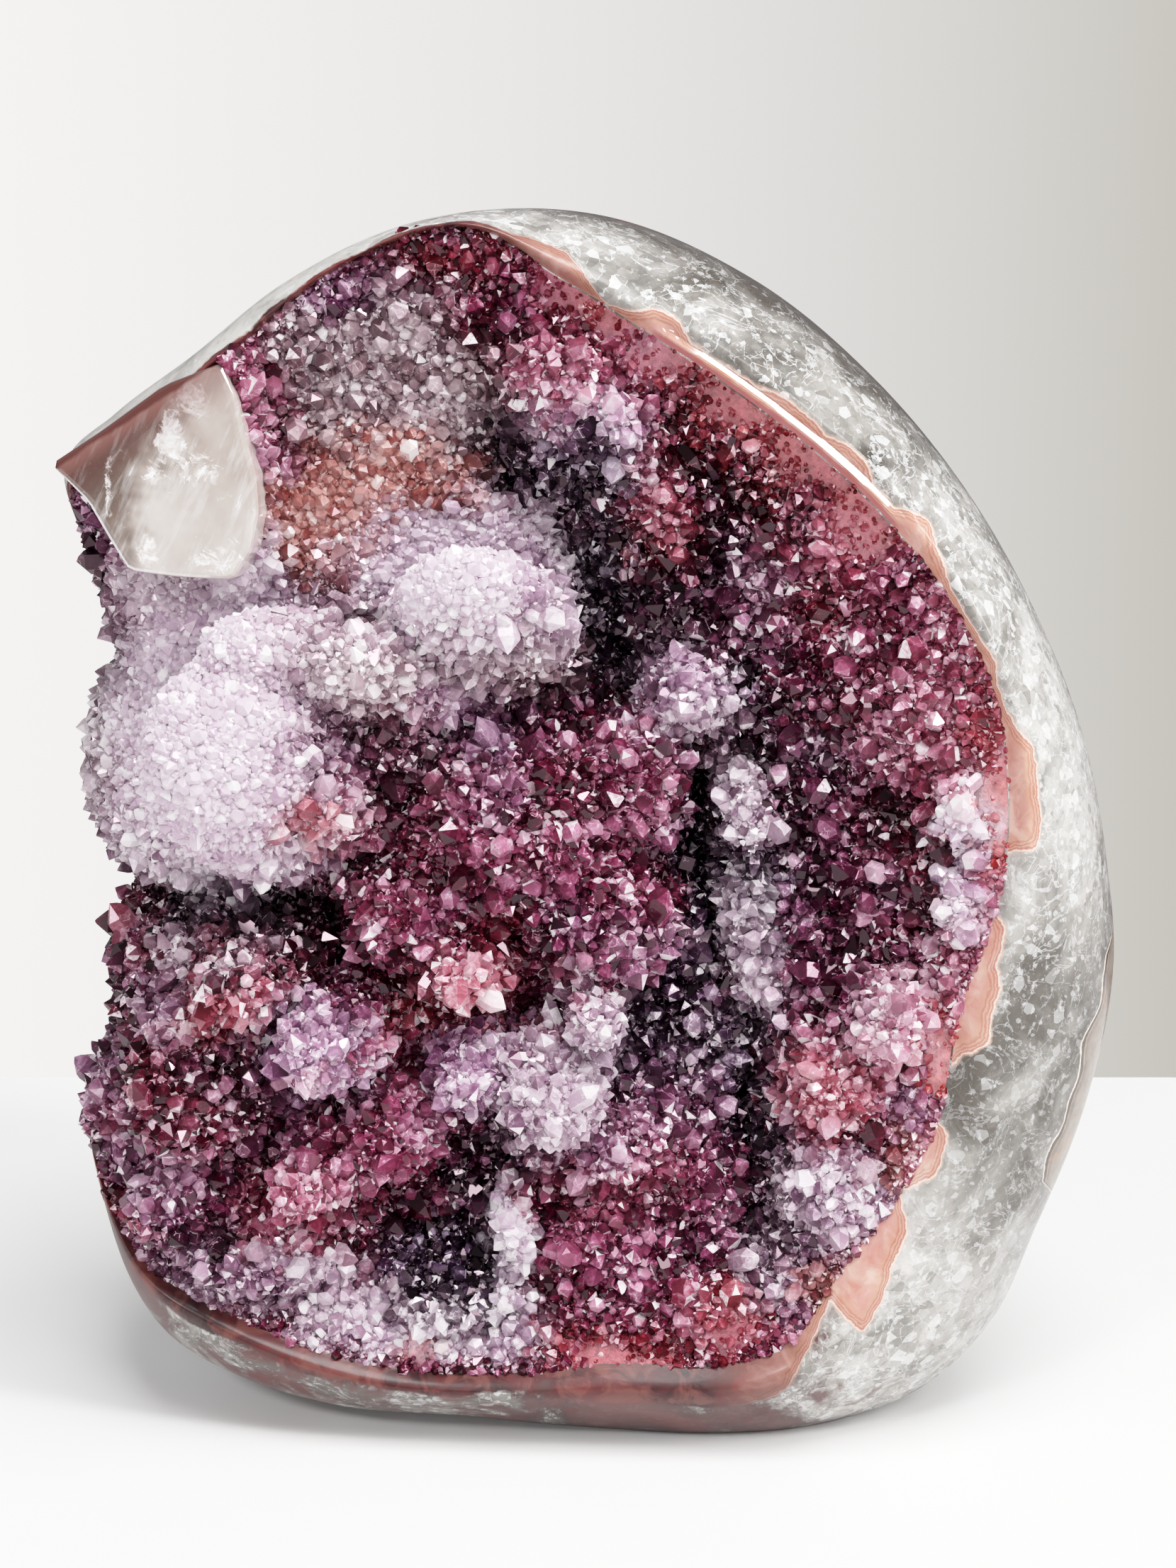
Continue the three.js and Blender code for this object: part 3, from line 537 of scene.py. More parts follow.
def hull_of_planes(planes):
    """Points and faces of the solid inside planes given as (outward normal, distance)."""
    points, faces = [], []
    for i, (normal, distance) in enumerate(planes):
        side = np.cross(normal, [0.3, 0.5, 0.8])
        side /= np.linalg.norm(side)
        up = np.cross(normal, side)
        corners = ((1, 1), (-1, 1), (-1, -1), (1, -1))
        polygon = [normal * distance + POLYGON_REACH * (side * c + up * s) for c, s in corners]
        for j, (other, limit) in enumerate(planes):
            if j != i:
                polygon = clipped(polygon, other, limit)
        if len(polygon) < 3:
            continue
        face = []
        for p in polygon:
            k = next((k for k, q in enumerate(points) if np.linalg.norm(p - q) < 1e-4), len(points))
            if k == len(points):
                points.append(p)
            if k not in face:
                face.append(k)
        if len(face) > 2:
            turn = np.cross(points[face[1]] - points[face[0]], points[face[2]] - points[face[1]])
            faces.append(face if turn @ normal > 0 else face[::-1])
    return np.array(points), faces


def clipped(polygon, normal, limit):
    """What a plane leaves of a polygon."""
    kept = []
    for p, q in zip(polygon, polygon[1:] + polygon[:1]):
        a, b = p @ normal - limit, q @ normal - limit
        if a <= 0:
            kept.append(p)
        if (a < 0 < b) or (b < 0 < a):
            kept.append(p + (q - p) * (a / (a - b)))
    return kept


def scatter(rng, sheet, faces, normals, relief, count):
    """Random points on a sheet of triangles, even by area, with the surface's normals and relief."""
    a, b, c = (sheet[faces[:, k]] for k in range(3))
    area = np.linalg.norm(np.cross(b - a, c - a), axis=1) / 2
    pick = rng.choice(len(faces), count, p=area / area.sum())
    u, v = rng.random(count), rng.random(count)
    over = u + v > 1
    u[over], v[over] = 1 - u[over], 1 - v[over]
    w = np.stack([1 - u - v, u, v], 1)

    def picked(values):
        return sum(w[:, [k]] * values[faces[pick, k]] for k in range(3))
    normal = picked(normals)
    return picked(sheet), normal / np.linalg.norm(normal, axis=1)[:, None], picked(relief[:, None])[:, 0]


def relief_of(points, faces, normals):
    """How far each point stands out from its surroundings, in millimetres."""
    ends = np.concatenate([faces[:, [0, 1]], faces[:, [1, 2]], faces[:, [2, 0]]])
    count = np.bincount(ends[:, 0], minlength=len(points))[:, None]
    even = points.copy()
    for _ in range(RELIEF_ROUNDS):
        total = np.stack([np.bincount(ends[:, 0], even[ends[:, 1], k], len(points)) for k in range(3)], 1)
        even = total / count
    return ((points - even) * normals).sum(1)


def waves(points, seed, shortest, longest):
    """Smooth random value, about -1 to 1, that changes over the given lengths in millimetres."""
    rng = np.random.default_rng(seed)
    total = np.zeros(len(points))
    for _ in range(WAVE_COUNT):
        way = rng.normal(size=3)
        way *= 2 * np.pi / rng.uniform(shortest, longest) / np.linalg.norm(way)
        total += np.sin(points @ way + rng.uniform(0, 2 * np.pi))
    return total / WAVE_COUNT**0.5


def thinned(places, spacing, taken):
    """Indices of points that keep their own spacing from each other and from taken (place, radius)."""
    tree = kdtree.KDTree(len(places))
    for i, p in enumerate(places):
        tree.insert(p, i)
    tree.balance()
    free = np.ones(len(places), bool)
    for place, radius in taken:
        for _, i, _ in tree.find_range(place, radius):
            free[i] = False
    kept = []
    for i in range(len(places)):
        if free[i]:
            kept.append(i)
            for _, j, _ in tree.find_range(places[i], spacing[i]):
                free[j] = False
    return np.array(kept)


def turned(normals, rng, lean):
    """Rotation matrices whose third axis is the normal with some lean."""
    axis = normals + rng.normal(0, lean, normals.shape)
    axis /= np.linalg.norm(axis, axis=1)[:, None]
    spin = rng.normal(size=axis.shape)
    side = np.cross(axis, spin)
    side /= np.linalg.norm(side, axis=1)[:, None]
    return np.stack([side, np.cross(axis, side), axis], 2)


def grown(rng, shapes, places, matrices, sizes, colours, flat):
    """Points, faces, colours and evenness of one crystal of a random shape at each place."""
    kind = rng.integers(len(shapes), size=len(places))
    stretch = rng.uniform(0.85, 1.2, (len(places), 3))
    stretch[:, 2] *= 1 - 0.2 * flat
    points, faces, tones, calm, first = [], [], [], [], 0
    for k, (shape, shape_faces) in enumerate(shapes):
        mine = np.flatnonzero(kind == k)
        local = shape[None] * (stretch[mine] * sizes[mine, None])[:, None]
        made = np.einsum("nij,nvj->nvi", matrices[mine], local) + places[mine, None]
        height = np.clip((shape[:, 2] + 0.2) / (shape[:, 2].max() + 0.2), 0, 1)
        # A crystal is deeper in colour at its foot.
        deepening = 1.4 - 0.5 * height[None, :, None]
        deepening = 1 + (deepening - 1) * (1 - 0.8 * flat[mine])[:, None, None]
        tones.append((colours[mine, None] ** deepening).reshape(-1, 3))
        calm.append(np.repeat(flat[mine], len(shape)))
        points.append(made.reshape(-1, 3))
        for n in range(len(mine)):
            base = first + n * len(shape)
            faces += [[base + i for i in face] for face in shape_faces]
        first += len(mine) * len(shape)
    return np.concatenate(points), faces, np.concatenate(tones), np.concatenate(calm)


def triangles(faces):
    """How many triangles some faces make."""
    return sum(len(face) - 2 for face in faces)


def vertex_normals(points, faces):
    a, b, c = (points[faces[:, k]] for k in range(3))
    across = np.cross(b - a, c - a)
    normals = np.zeros_like(points)
    for k in range(3):
        np.add.at(normals, faces[:, k], across)
    return normals / np.linalg.norm(normals, axis=1)[:, None]


def share_inside(points, ellipses):
    """1 well inside any of the ellipses, down to 0 outside them."""
    share = np.zeros(len(points))
    for x, z, rx, rz, *most in ellipses:
        share = np.maximum(share, faded(points, x, z, rx, rz, 1.4, 2) * (most[0] if most else 1))
    return share


def warped(points):
    """Points shifted a little, so that the zones of colour get natural borders."""
    shift = [waves(points, 21, 7, 18), 0 * points[:, 0], waves(points, 22, 7, 18)]
    return points + ZONE_WAVES * np.stack(shift, 1)


def nearness_to_edge(points):
    """From 0 inside the crust to 1 at its edge, and 0 on the left side."""
    degrees, away = polar(points)
    share = away / around(CRUST_OUTLINE, degrees)
    from_left = np.abs(degrees + 360 * (degrees < 0) - LEFT_SIDE)
    return np.clip((share - 0.955) / 0.04, 0, 1) * np.clip((from_left - 28) / 8, 0, 1)


def crystal_shapes():
    """Quartz points with long sides, with short ones, and tips alone."""
    columns = [quartz_point(random.Random(i), 0.3 + 1.1 * (i % 8) / 7) for i in range(24)]
    stubs = [quartz_point(random.Random(i), 0.12 + 0.2 * (i % 4) / 3) for i in range(60, 72)]
    tips = [quartz_point(random.Random(i), 0) for i in range(40, 56)]
    return columns, stubs, tips


def crystal_colours(rng, places, relief, flat):
    """Linear colours of crystals: those of their zones, deeper or paler from one to the next."""
    colours = zone_colours(warped(places) + rng.normal(0, 1.1, places.shape))
    dim = np.clip(1 - colours.mean(1) / 0.15, 0, 1)
    # Dark crystals are violet here and there.
    violet = np.clip(waves(places, 4, 9, 20) * 0.6, 0, 0.5) * dim
    cool = linear(COLOURS["violet"])
    colours += (cool / cool.mean() * colours.mean(1)[:, None] - colours) * violet[:, None]
    # Painted light and shade: they are paler where the ground stands out, and darker where it sinks in.
    depth = rng.normal(0, 0.36, len(places)) + 0.25 * waves(places, 3, 5, 16)
    depth -= 0.4 * (1 - 0.6 * dim) * np.clip(relief, -0.8, 0.8)
    depth = np.clip(np.exp(depth * (1 - 0.7 * flat)), 0.3, 1.5)
    clear = rng.random(len(places)) < CLEAR_SHARE
    depth[clear] *= 0.4
    return np.clip(colours, 0.001, 0.92) ** depth[:, None]


def crystal_pieces(rng, name, shapes, places, matrices, sizes, colours, flat):
    """One crystal at each place, in pieces from the bottom up that keep to the limit of triangles."""
    cost = np.mean([triangles(shape[1]) for shape in shapes])
    count = math.ceil(len(places) * cost / CRYSTAL_TRIANGLES)
    pieces = []
    for part, mine in enumerate(np.array_split(np.argsort(places[:, 2]), count), 1):
        *made, calm = grown(
            rng, shapes, places[mine], matrices[mine], sizes[mine], colours[mine], flat[mine])
        piece = new_mesh(f"crystals_{name}_{part}", *made)
        set_values(piece, "calm", "POINT", calm)
        facet = rng.random(len(made[1]))
        # Some faces are marked for painted glints, pale or near white.
        facet[facet < PAINTED_GLINT_FACETS] = PAINTED_GLINT_MARK
        facet[facet > 1 - PAINTED_MIRROR_FACETS] = PAINTED_MIRROR_MARK
        set_values(piece, "facet", "FACE", facet)
        pieces.append(piece)
    return pieces


def build_base(degrees, shares, faces):
    """The sheet that the crystals stand in, open behind the window."""
    base = druzy(degrees, shares, SHEET_PARING)
    outside = ~inside_window(base, -1.0)
    kept = faces[outside[faces].all(1)]
    flat = np.maximum(share_inside(warped(base), EVEN), share_inside(base, GLAZED))
    colours = zone_colours(warped(base)) * (0.45 + 0.5 * flat)[:, None]
    return new_mesh("crust_base", base, kept.tolist(), colours)


def build_crust():
    """The crust's ground, and layers of crystals that grow on the druzy surface just in front of it."""
    rng = np.random.default_rng(11)
    degrees, shares, faces = lattice(CRUST_RINGS)
    sheet = druzy(degrees, shares)
    normals = vertex_normals(sheet, faces)
    if normals[:, 1].mean() > 0:
        normals = -normals
    pieces = [build_base(degrees, shares, faces)]

    spots = scatter(rng, sheet, faces, normals, relief_of(sheet, faces, normals), CANDIDATES)
    free = ~inside_window(spots[0], 0.3)
    places, normal, relief = (values[free] for values in spots)
    even, glazed = (share_inside(warped(places), table) for table in (EVEN, GLAZED))
    edge = nearness_to_edge(places)
    dark = 1 - np.clip(zone_colours(places).mean(1) / 0.25, 0, 1)
    growth = 1 - 0.12 * even + 0.12 * dark - 0.25 * glazed - 0.35 * edge
    # The shapes that each layer has, and the chance that a crystal of it grows at a place.
    columns, stubs, tips = crystal_shapes()
    no_tall = (even > 0.35) | (cleft_depth(places) > 2) | (glazed > 0.2) | (edge > 0)
    grows = {
        "tall": (columns, np.where(no_tall, 0.0, 1.0)),
        "middle": (stubs + tips, 1 - 0.85 * glazed),
        "fine": (tips, 1 - 0.7 * glazed),
    }
    taken = []
    for name, (radius, varies, apart, room, lean) in LAYERS.items():
        shapes, chance = grows[name]
        size = radius * growth
        size *= np.exp(varies * np.clip(rng.normal(size=len(places)), -MOST_SPREAD, MOST_SPREAD))
        possible = np.flatnonzero(rng.random(len(places)) < chance**3)
        spaced = [(place, room * reach) for place, reach in taken]
        picked = possible[thinned(places[possible], size[possible] * apart, spaced)]
        taken += list(zip(places[picked], size[picked]))
        out, flat = normal[picked], np.maximum(even, 0.8 * glazed)[picked]
        feet = places[picked] - out * (0.6 * glazed * size)[picked][:, None]
        colours = crystal_colours(rng, feet, relief[picked], flat)
        matrices = turned(out, rng, (lean * (1 - 0.35 * flat))[:, None])
        pieces += crystal_pieces(rng, name, shapes, feet, matrices, size[picked], colours, flat)
    return pieces


# Shell

def rim_section(count):
    """Smooth shares across and back along the rim's section."""
    knots = np.array(RIM_SECTION)
    t = (len(knots) - 1) * np.linspace(0, 1, count) ** 1.6
    i = np.minimum(t.astype(int), len(knots) - 2)
    u = (t - i)[:, None]
    p0, p1, p2, p3 = (knots[np.clip(i + s, 0, len(knots) - 1)] for s in (-1, 0, 1, 2))
    slope, bend, twist = p2 - p0, 2 * p0 - 5 * p1 + 4 * p2 - p3, 3 * p1 - p0 - 3 * p2 + p3
    return 0.5 * (2 * p1 + slope * u + bend * u**2 + twist * u**3)


def build_shell():
    """The stone's body: a bowl behind the crust, the polished rim and the back, as rings of points."""
    degrees = np.arange(SPOKES) * 360 / SPOKES
    crust, outline = around(CRUST_OUTLINE, degrees), around(OUTLINE, degrees)
    edge_y, widest_y = around(EDGE_Y, degrees), around(WIDEST_Y, degrees)
    rings = []
    for share in np.linspace(0.3, 1, INNER_RINGS):
        bowl = bare_hollow(degrees, np.full(SPOKES, share))
        ray = bowl - HEART
        length = np.linalg.norm(ray, axis=1)[:, None]
        rings.append(HEART + ray / length * (length - BOWL_GAP - BOWL_DEPTH * (1 - share**6)))
    section = rim_section(RIM_RINGS)
    for across, back in section:
        radius = crust + (outline - crust) * across
        rings.append(at_polar(degrees, radius, edge_y + (widest_y - edge_y) * back))
    for i in range(1, BACK_RINGS):
        a = i / BACK_RINGS * np.pi / 2
        shrink, back = np.cos(a) ** (2 / BACK_SQUARENESS), np.sin(a) ** (2 / BACK_SQUARENESS)
        radius = outline + (around(BACK_OUTLINE, degrees) - outline) * back
        rings.append(at_polar(degrees, radius * shrink, widest_y + (BACK_Y - widest_y) * back))
    grid = np.array(rings)
    rim = slice(INNER_RINGS, INNER_RINGS + RIM_RINGS)
    # How far each point lies from the crust's edge along the surface.
    run = np.full(grid.shape[:2], INNER_RUN)
    run[rim.start] = 0
    steps = np.linalg.norm(np.diff(grid[rim.start:], axis=0), axis=2)
    run[rim.start + 1:] = np.cumsum(steps, axis=0)
    glaze = np.zeros(run.shape)
    grid[rim, :, 1], glaze[rim] = lipped(degrees, grid[rim], section[:, :1] * (outline - crust))

    count = len(rings)
    front, pole = count * SPOKES, count * SPOKES + 1
    points = np.vstack([grid.reshape(-1, 3), grid[0].mean(0), [[MIDDLE[0], BACK_Y, MIDDLE[2]]]])
    last = (count - 1) * SPOKES
    faces = between_rings(count, SPOKES)
    faces += [[front, j, (j + 1) % SPOKES] for j in range(SPOKES)]
    faces += [[last + j, pole, last + (j + 1) % SPOKES] for j in range(SPOKES)]
    piece = new_mesh("agate_body", points, faces)
    for name, values in shell_values(degrees, grid, rim, run, glaze).items():
        set_values(piece, name, "POINT", values)
    cut_flat(piece)
    return piece


def shell_values(degrees, grid, rim, run, glaze):
    """What the agate's material needs to know at each point of the grid, then at its two poles."""
    band = band_distance(degrees, grid[rim.start], run)
    band[:rim.start] = NO_BAND
    width = run[rim.stop - 1]
    across = run / width
    across[rim.stop:] = 1 + np.arange(1, BACK_RINGS)[:, None] / BACK_RINGS
    ripple = 0.9 * np.sin(np.radians(degrees * 31)) + 0.6 * np.sin(np.radians(degrees * 53 + 40))
    rind = run - width + np.interp(degrees, *zip(*RIND), left=NO_RIND, right=NO_RIND) + ripple
    values = {
        "band": np.append(band, [NO_BAND, 2 * NO_BAND]),
        "glaze": np.append(glaze, [0, 0]),
        "rind": np.append(np.clip(rind, -RIND_REACH, RIND_REACH), [-RIND_REACH, -RIND_REACH]),
        "across": np.append(across, [-1, 2]),
    }
    tables = {"milk": MILK, "mosaic": MOSAIC, "smoke": SMOKE, "stain": STAIN, "wine": WINE}
    for name, table in tables.items():
        values[name] = np.append(np.tile(around(table, degrees), len(grid)), [0.5, 0.5])
    return values


def lipped(degrees, rim, out):
    """The rim's y with the glassy lip, given distances out from the crust's edge.

    Also how glazed it is: 1 on the bevel, and -1 inside it, where the crust's own colour runs on."""
    edge = rim[0][:, [0, 2]]
    ahead = np.roll(edge, -1, 0) - np.roll(edge, 1, 0)
    ahead /= np.linalg.norm(ahead, axis=1)[:, None]
    spoke = np.radians(degrees)
    square = np.abs(np.cos(spoke) * ahead[:, 1] - np.sin(spoke) * ahead[:, 0])
    foot = LIP_HEIGHT - LIP_SLOPE * (LIP_FOOT - LIP_TOP) * square
    rise = LIP_HEIGHT * np.clip(out / LIP_TOP, 0, 1)
    fall = (LIP_HEIGHT - foot) * np.clip((out - LIP_TOP) / (LIP_FOOT - LIP_TOP), 0, 1)
    start, stop = LIP_ANGLES
    along = np.clip(np.minimum(degrees - start, stop - degrees) / 3, 0, 1)
    near = along * np.clip((LIP_END - out) / (LIP_END - LIP_FOOT), 0, 1)
    y = rim[:, :, 1] + near * (rim[0, :, 1] - rise + fall - rim[:, :, 1])
    glazed = np.clip(np.minimum(out - LIP_TOP + 0.3, LIP_FOOT + 0.4 - out) / 0.3, 0, 1)
    return y, along * (glazed - (out < LIP_TOP - 0.3))


def band_distance(degrees, edge, run):
    """Signed distance to the agate band's far edge, negative inside the band, for the whole grid."""
    rng = np.random.default_rng(5)
    steps = np.linalg.norm(np.roll(edge, -1, 0) - edge, axis=1)
    arc = np.concatenate([[0], np.cumsum(steps)[:-1]])
    total = steps.sum()
    knots = np.array(BAND_WIDTH)
    teeth = []
    for (a, w), (b, v) in zip(knots, np.vstack([knots[1:], knots[:1] + [360, 0]])):
        count = max(1, int((b - a) / TOOTH_DEGREES))
        for k in range(count):
            t = k / count
            jag = rng.uniform(-TOOTH_HEIGHT, TOOTH_HEIGHT) if k else 0
            teeth.append((a + (b - a) * t, w + (v - w) * t + jag))
    teeth = np.array(teeth)
    along = np.interp(teeth[:, 0], np.append(degrees, 360), np.append(arc, total))
    line = np.c_[along, teeth[:, 1]][np.argsort(along)]
    line = np.vstack([line[-6:] - [total, 0], line, line[:6] + [total, 0]])
    flat = np.stack([np.broadcast_to(arc, run.shape), run], -1).reshape(-1, 2)
    away = nearest_on(flat, line)
    edge_here = np.interp(flat[:, 0], line[:, 0], line[:, 1])
    return np.where(flat[:, 1] > edge_here, away, -away).reshape(run.shape)


def cut_flat(piece):
    """Saws the piece off level with the table and closes it."""
    mesh = bmesh.new()
    mesh.from_mesh(piece.data)
    everything = mesh.verts[:] + mesh.edges[:] + mesh.faces[:]
    cut = bmesh.ops.bisect_plane(
        mesh, geom=everything, plane_co=(0, 0, 0), plane_no=(0, 0, -1), clear_outer=True)
    edges = [e for e in cut["geom_cut"] if isinstance(e, bmesh.types.BMEdge)]
    bmesh.ops.holes_fill(mesh, edges=edges, sides=0)
    mesh.to_mesh(piece.data)
    mesh.free()


def build_window():
    """The window's block, with its corners cut and its front edges rounded."""
    outline = np.array(WINDOW)
    following = np.roll(outline, -1, 0)
    outline = np.stack([outline * 0.9 + following * 0.1, outline * 0.1 + following * 0.9], 1).reshape(-1, 2)
    middle = outline.mean(0)
    rings = []
    for inset, depth in WINDOW_SECTION:
        reach = np.linalg.norm(outline - middle, axis=1)[:, None]
        ring = middle + (outline - middle) * (1 - inset / reach)
        rings.append(np.c_[ring[:, 0], np.full(len(ring), WINDOW_FRONT + depth), ring[:, 1]])
    cos, sin = math.cos(WINDOW_TURN), math.sin(WINDOW_TURN)
    spin = np.array([[cos, sin, 0], [-sin, cos, 0], [0, 0, 1]])
    points = (np.vstack(rings) - WINDOW_PIVOT) @ spin.T + WINDOW_PIVOT
    count = len(outline)
    back = (len(rings) - 1) * count
    faces = [list(range(count)), [back + j for j in range(count)][::-1]]
    return new_mesh("quartz_window", points, faces + between_rings(len(rings), count))


# Materials

class Value:
    """What a material works out at each point of a piece, so that its formulas read as sums."""

    def __init__(self, tree, socket):
        self.tree, self.socket = tree, socket

    def joined(self, operation, other=0.0):
        kind = "Math" if self.socket.type == "VALUE" else "VectorMath"
        return add(self.tree, kind, {0: self, 1: other}, operation=operation)

    def __add__(self, other):
        return self.joined("ADD", other)

    def __sub__(self, other):
        return self.joined("SUBTRACT", other)

    def __rsub__(self, other):
        return add(self.tree, "Math", {0: other, 1: self}, operation="SUBTRACT")

    def __mul__(self, other):
        return self.joined("MULTIPLY", other)

    def __pow__(self, other):
        return self.joined("POWER", other)

    def __abs__(self):
        return self.joined("ABSOLUTE")

    def spread(self, low, high, to_low=0.0, to_high=1.0):
        """Mapped from low..high to to_low..to_high, and kept between them."""
        return add(self.tree, "MapRange", {0: self, 1: low, 2: high, 3: to_low, 4: to_high})

    def noise(self, scale, detail=4.0, rough=0.55, warp=0.0, out=0):
        inputs = {"Vector": self, "Scale": scale, "Detail": detail, "Roughness": rough, "Distortion": warp}
        return add(self.tree, "TexNoise", inputs, out)

    def cells(self, scale, low, high):
        """A random value for each cell of a Voronoi pattern."""
        colour = add(self.tree, "TexVoronoi", {"Vector": self, "Scale": scale}, out=1)
        return colour.split()[0].spread(0, 1, low, high)

    def seams(self, scale):
        """How far a Voronoi pattern's cells reach from their borders."""
        return add(self.tree, "TexVoronoi", {"Vector": self, "Scale": scale}, feature="DISTANCE_TO_EDGE")

    def split(self, kind="SeparateColor"):
        parts = add(self.tree, kind, {0: self}).socket.node.outputs
        return [Value(self.tree, part) for part in parts]

    def ramp(self, stops):
        """Colours at places from 0 to 1."""
        colour = add(self.tree, "ValToRGB", {0: self})
        marks = colour.socket.node.color_ramp.elements
        while len(marks) < len(stops):
            marks.new(0.5)
        for mark, (place, shade) in zip(marks, stops):
            mark.position, mark.color = place, paint(shade)
        return colour

    def into(self, shader, name):
        self.tree.links.new(self.socket, shader.inputs[name])


def add(tree, kind, inputs=None, out=0, **settings):
    """The output of a new shader node, with its inputs set or linked."""
    node = tree.nodes.new("ShaderNode" + kind)
    for key, value in settings.items():
        setattr(node, key, value)
    for socket, value in (inputs or {}).items():
        if isinstance(value, Value):
            tree.links.new(value.socket, node.inputs[socket])
        else:
            node.inputs[socket].default_value = value
    return Value(tree, node.outputs[out])


def paint(colour):
    """A colour for a socket: a value as it is, or sRGB 0-255 as linear numbers."""
    return colour if isinstance(colour, Value) else (*linear(colour), 1)


def mix(factor, a, b, blend="MIX"):
    """One colour mixed with another by a factor, of which at least one is a value."""
    tree = next(value.tree for value in (factor, a, b) if isinstance(value, Value))
    inputs = {0: factor, 6: paint(a), 7: paint(b)}
    return add(tree, "Mix", inputs, out=2, data_type="RGBA", blend_type=blend)


def layered(colour, *layers):
    """A colour under layers of value, its low and high end, the most that the layer covers, and colour."""
    for value, low, high, most, shade in layers:
        colour = mix(value.spread(low, high, 0, most), colour, shade)
    return colour


def tinted(colour, level):
    """A colour made lighter or darker by a level."""
    return mix(1.0, colour, add(colour.tree, "CombineColor", {0: level, 1: level, 2: level}), "MULTIPLY")


def attribute(tree, name, out="Fac"):
    return add(tree, "Attribute", out=out, attribute_name=name)


def object_place(tree):
    """Where a point lies on its piece, in metres."""
    return add(tree, "TexCoord", out="Object")


def material(name, **shine):
    """A new material, its nodes and its shader, with the shader's sockets set by name."""
    made = bpy.data.materials.new(name)
    made.use_nodes = True
    shader = made.node_tree.nodes["Principled BSDF"]
    for socket, value in shine.items():
        shader.inputs[socket.replace("_", " ")].default_value = value
    return made, made.node_tree, shader


def crystal_material():
    """Amethyst: the deeper light has to go through a crystal, the darker and fuller its colour."""
    made, tree, shader = material(
        "amethyst_crystal", Roughness=0.04, IOR=QUARTZ_IOR, Transmission_Weight=0.2, Specular_IOR_Level=0.26,
        Specular_Tint=(1, 0.68, 0.8, 1))
    place = object_place(tree)
    # Faces marked for painted glints get the thinnest depths, so they turn pale or near white.
    depth = attribute(tree, "facet").spread(PAINTED_MIRROR_MARK, 1, 0.03, 2.9)
    depth = depth + place.cells(800, -0.35, 0.35) + place.cells(2100, -0.3, 0.3)
    # Painted highlights: thin pale lines along small cell borders, where crystal edges would catch the light.
    painted_edge_highlights = place.seams(900).spread(0.06, 0.02, 0, 0.8) * place.noise(700, 2, 0.5).spread(0.5, 0.6)
    depth = (depth - painted_edge_highlights).spread(0.03, 2.8, 0.03, 2.8)
    calm = attribute(tree, "calm") * 0.7
    depth = depth - calm * (depth - 1.1)
    tone = attribute(tree, "tone", "Color")
    # Light is absorbed as the power of a depth.
    deep = add(tree, "CombineColor", {k: part**depth for k, part in enumerate(tone.split())})
    # Thin places turn lilac-white: partly the crystals' own milkiness, partly painted glints.
    milky_and_glinting = depth.spread(0.95, 0.25, 0, 0.3) * (1 - calm)
    mix(milky_and_glinting, mix(0.1, deep, tone), (206, 182, 192)).into(shader, "Base Color")
    return made


def base_material():
    """The ground between the crystals, in the colours of its zones."""
    made, tree, shader = material("crust_base", Roughness=0.25, IOR=QUARTZ_IOR)
    grain = object_place(tree).noise(700, 5, 0.7)
    tinted(attribute(tree, "tone", "Color"), grain.spread(0.3, 0.7, 0.5, 1.5)).into(shader, "Base Color")
    add(tree, "Bump", {"Height": grain, "Distance": 0.0006, "Strength": 1.0}).into(shader, "Normal")
    return made


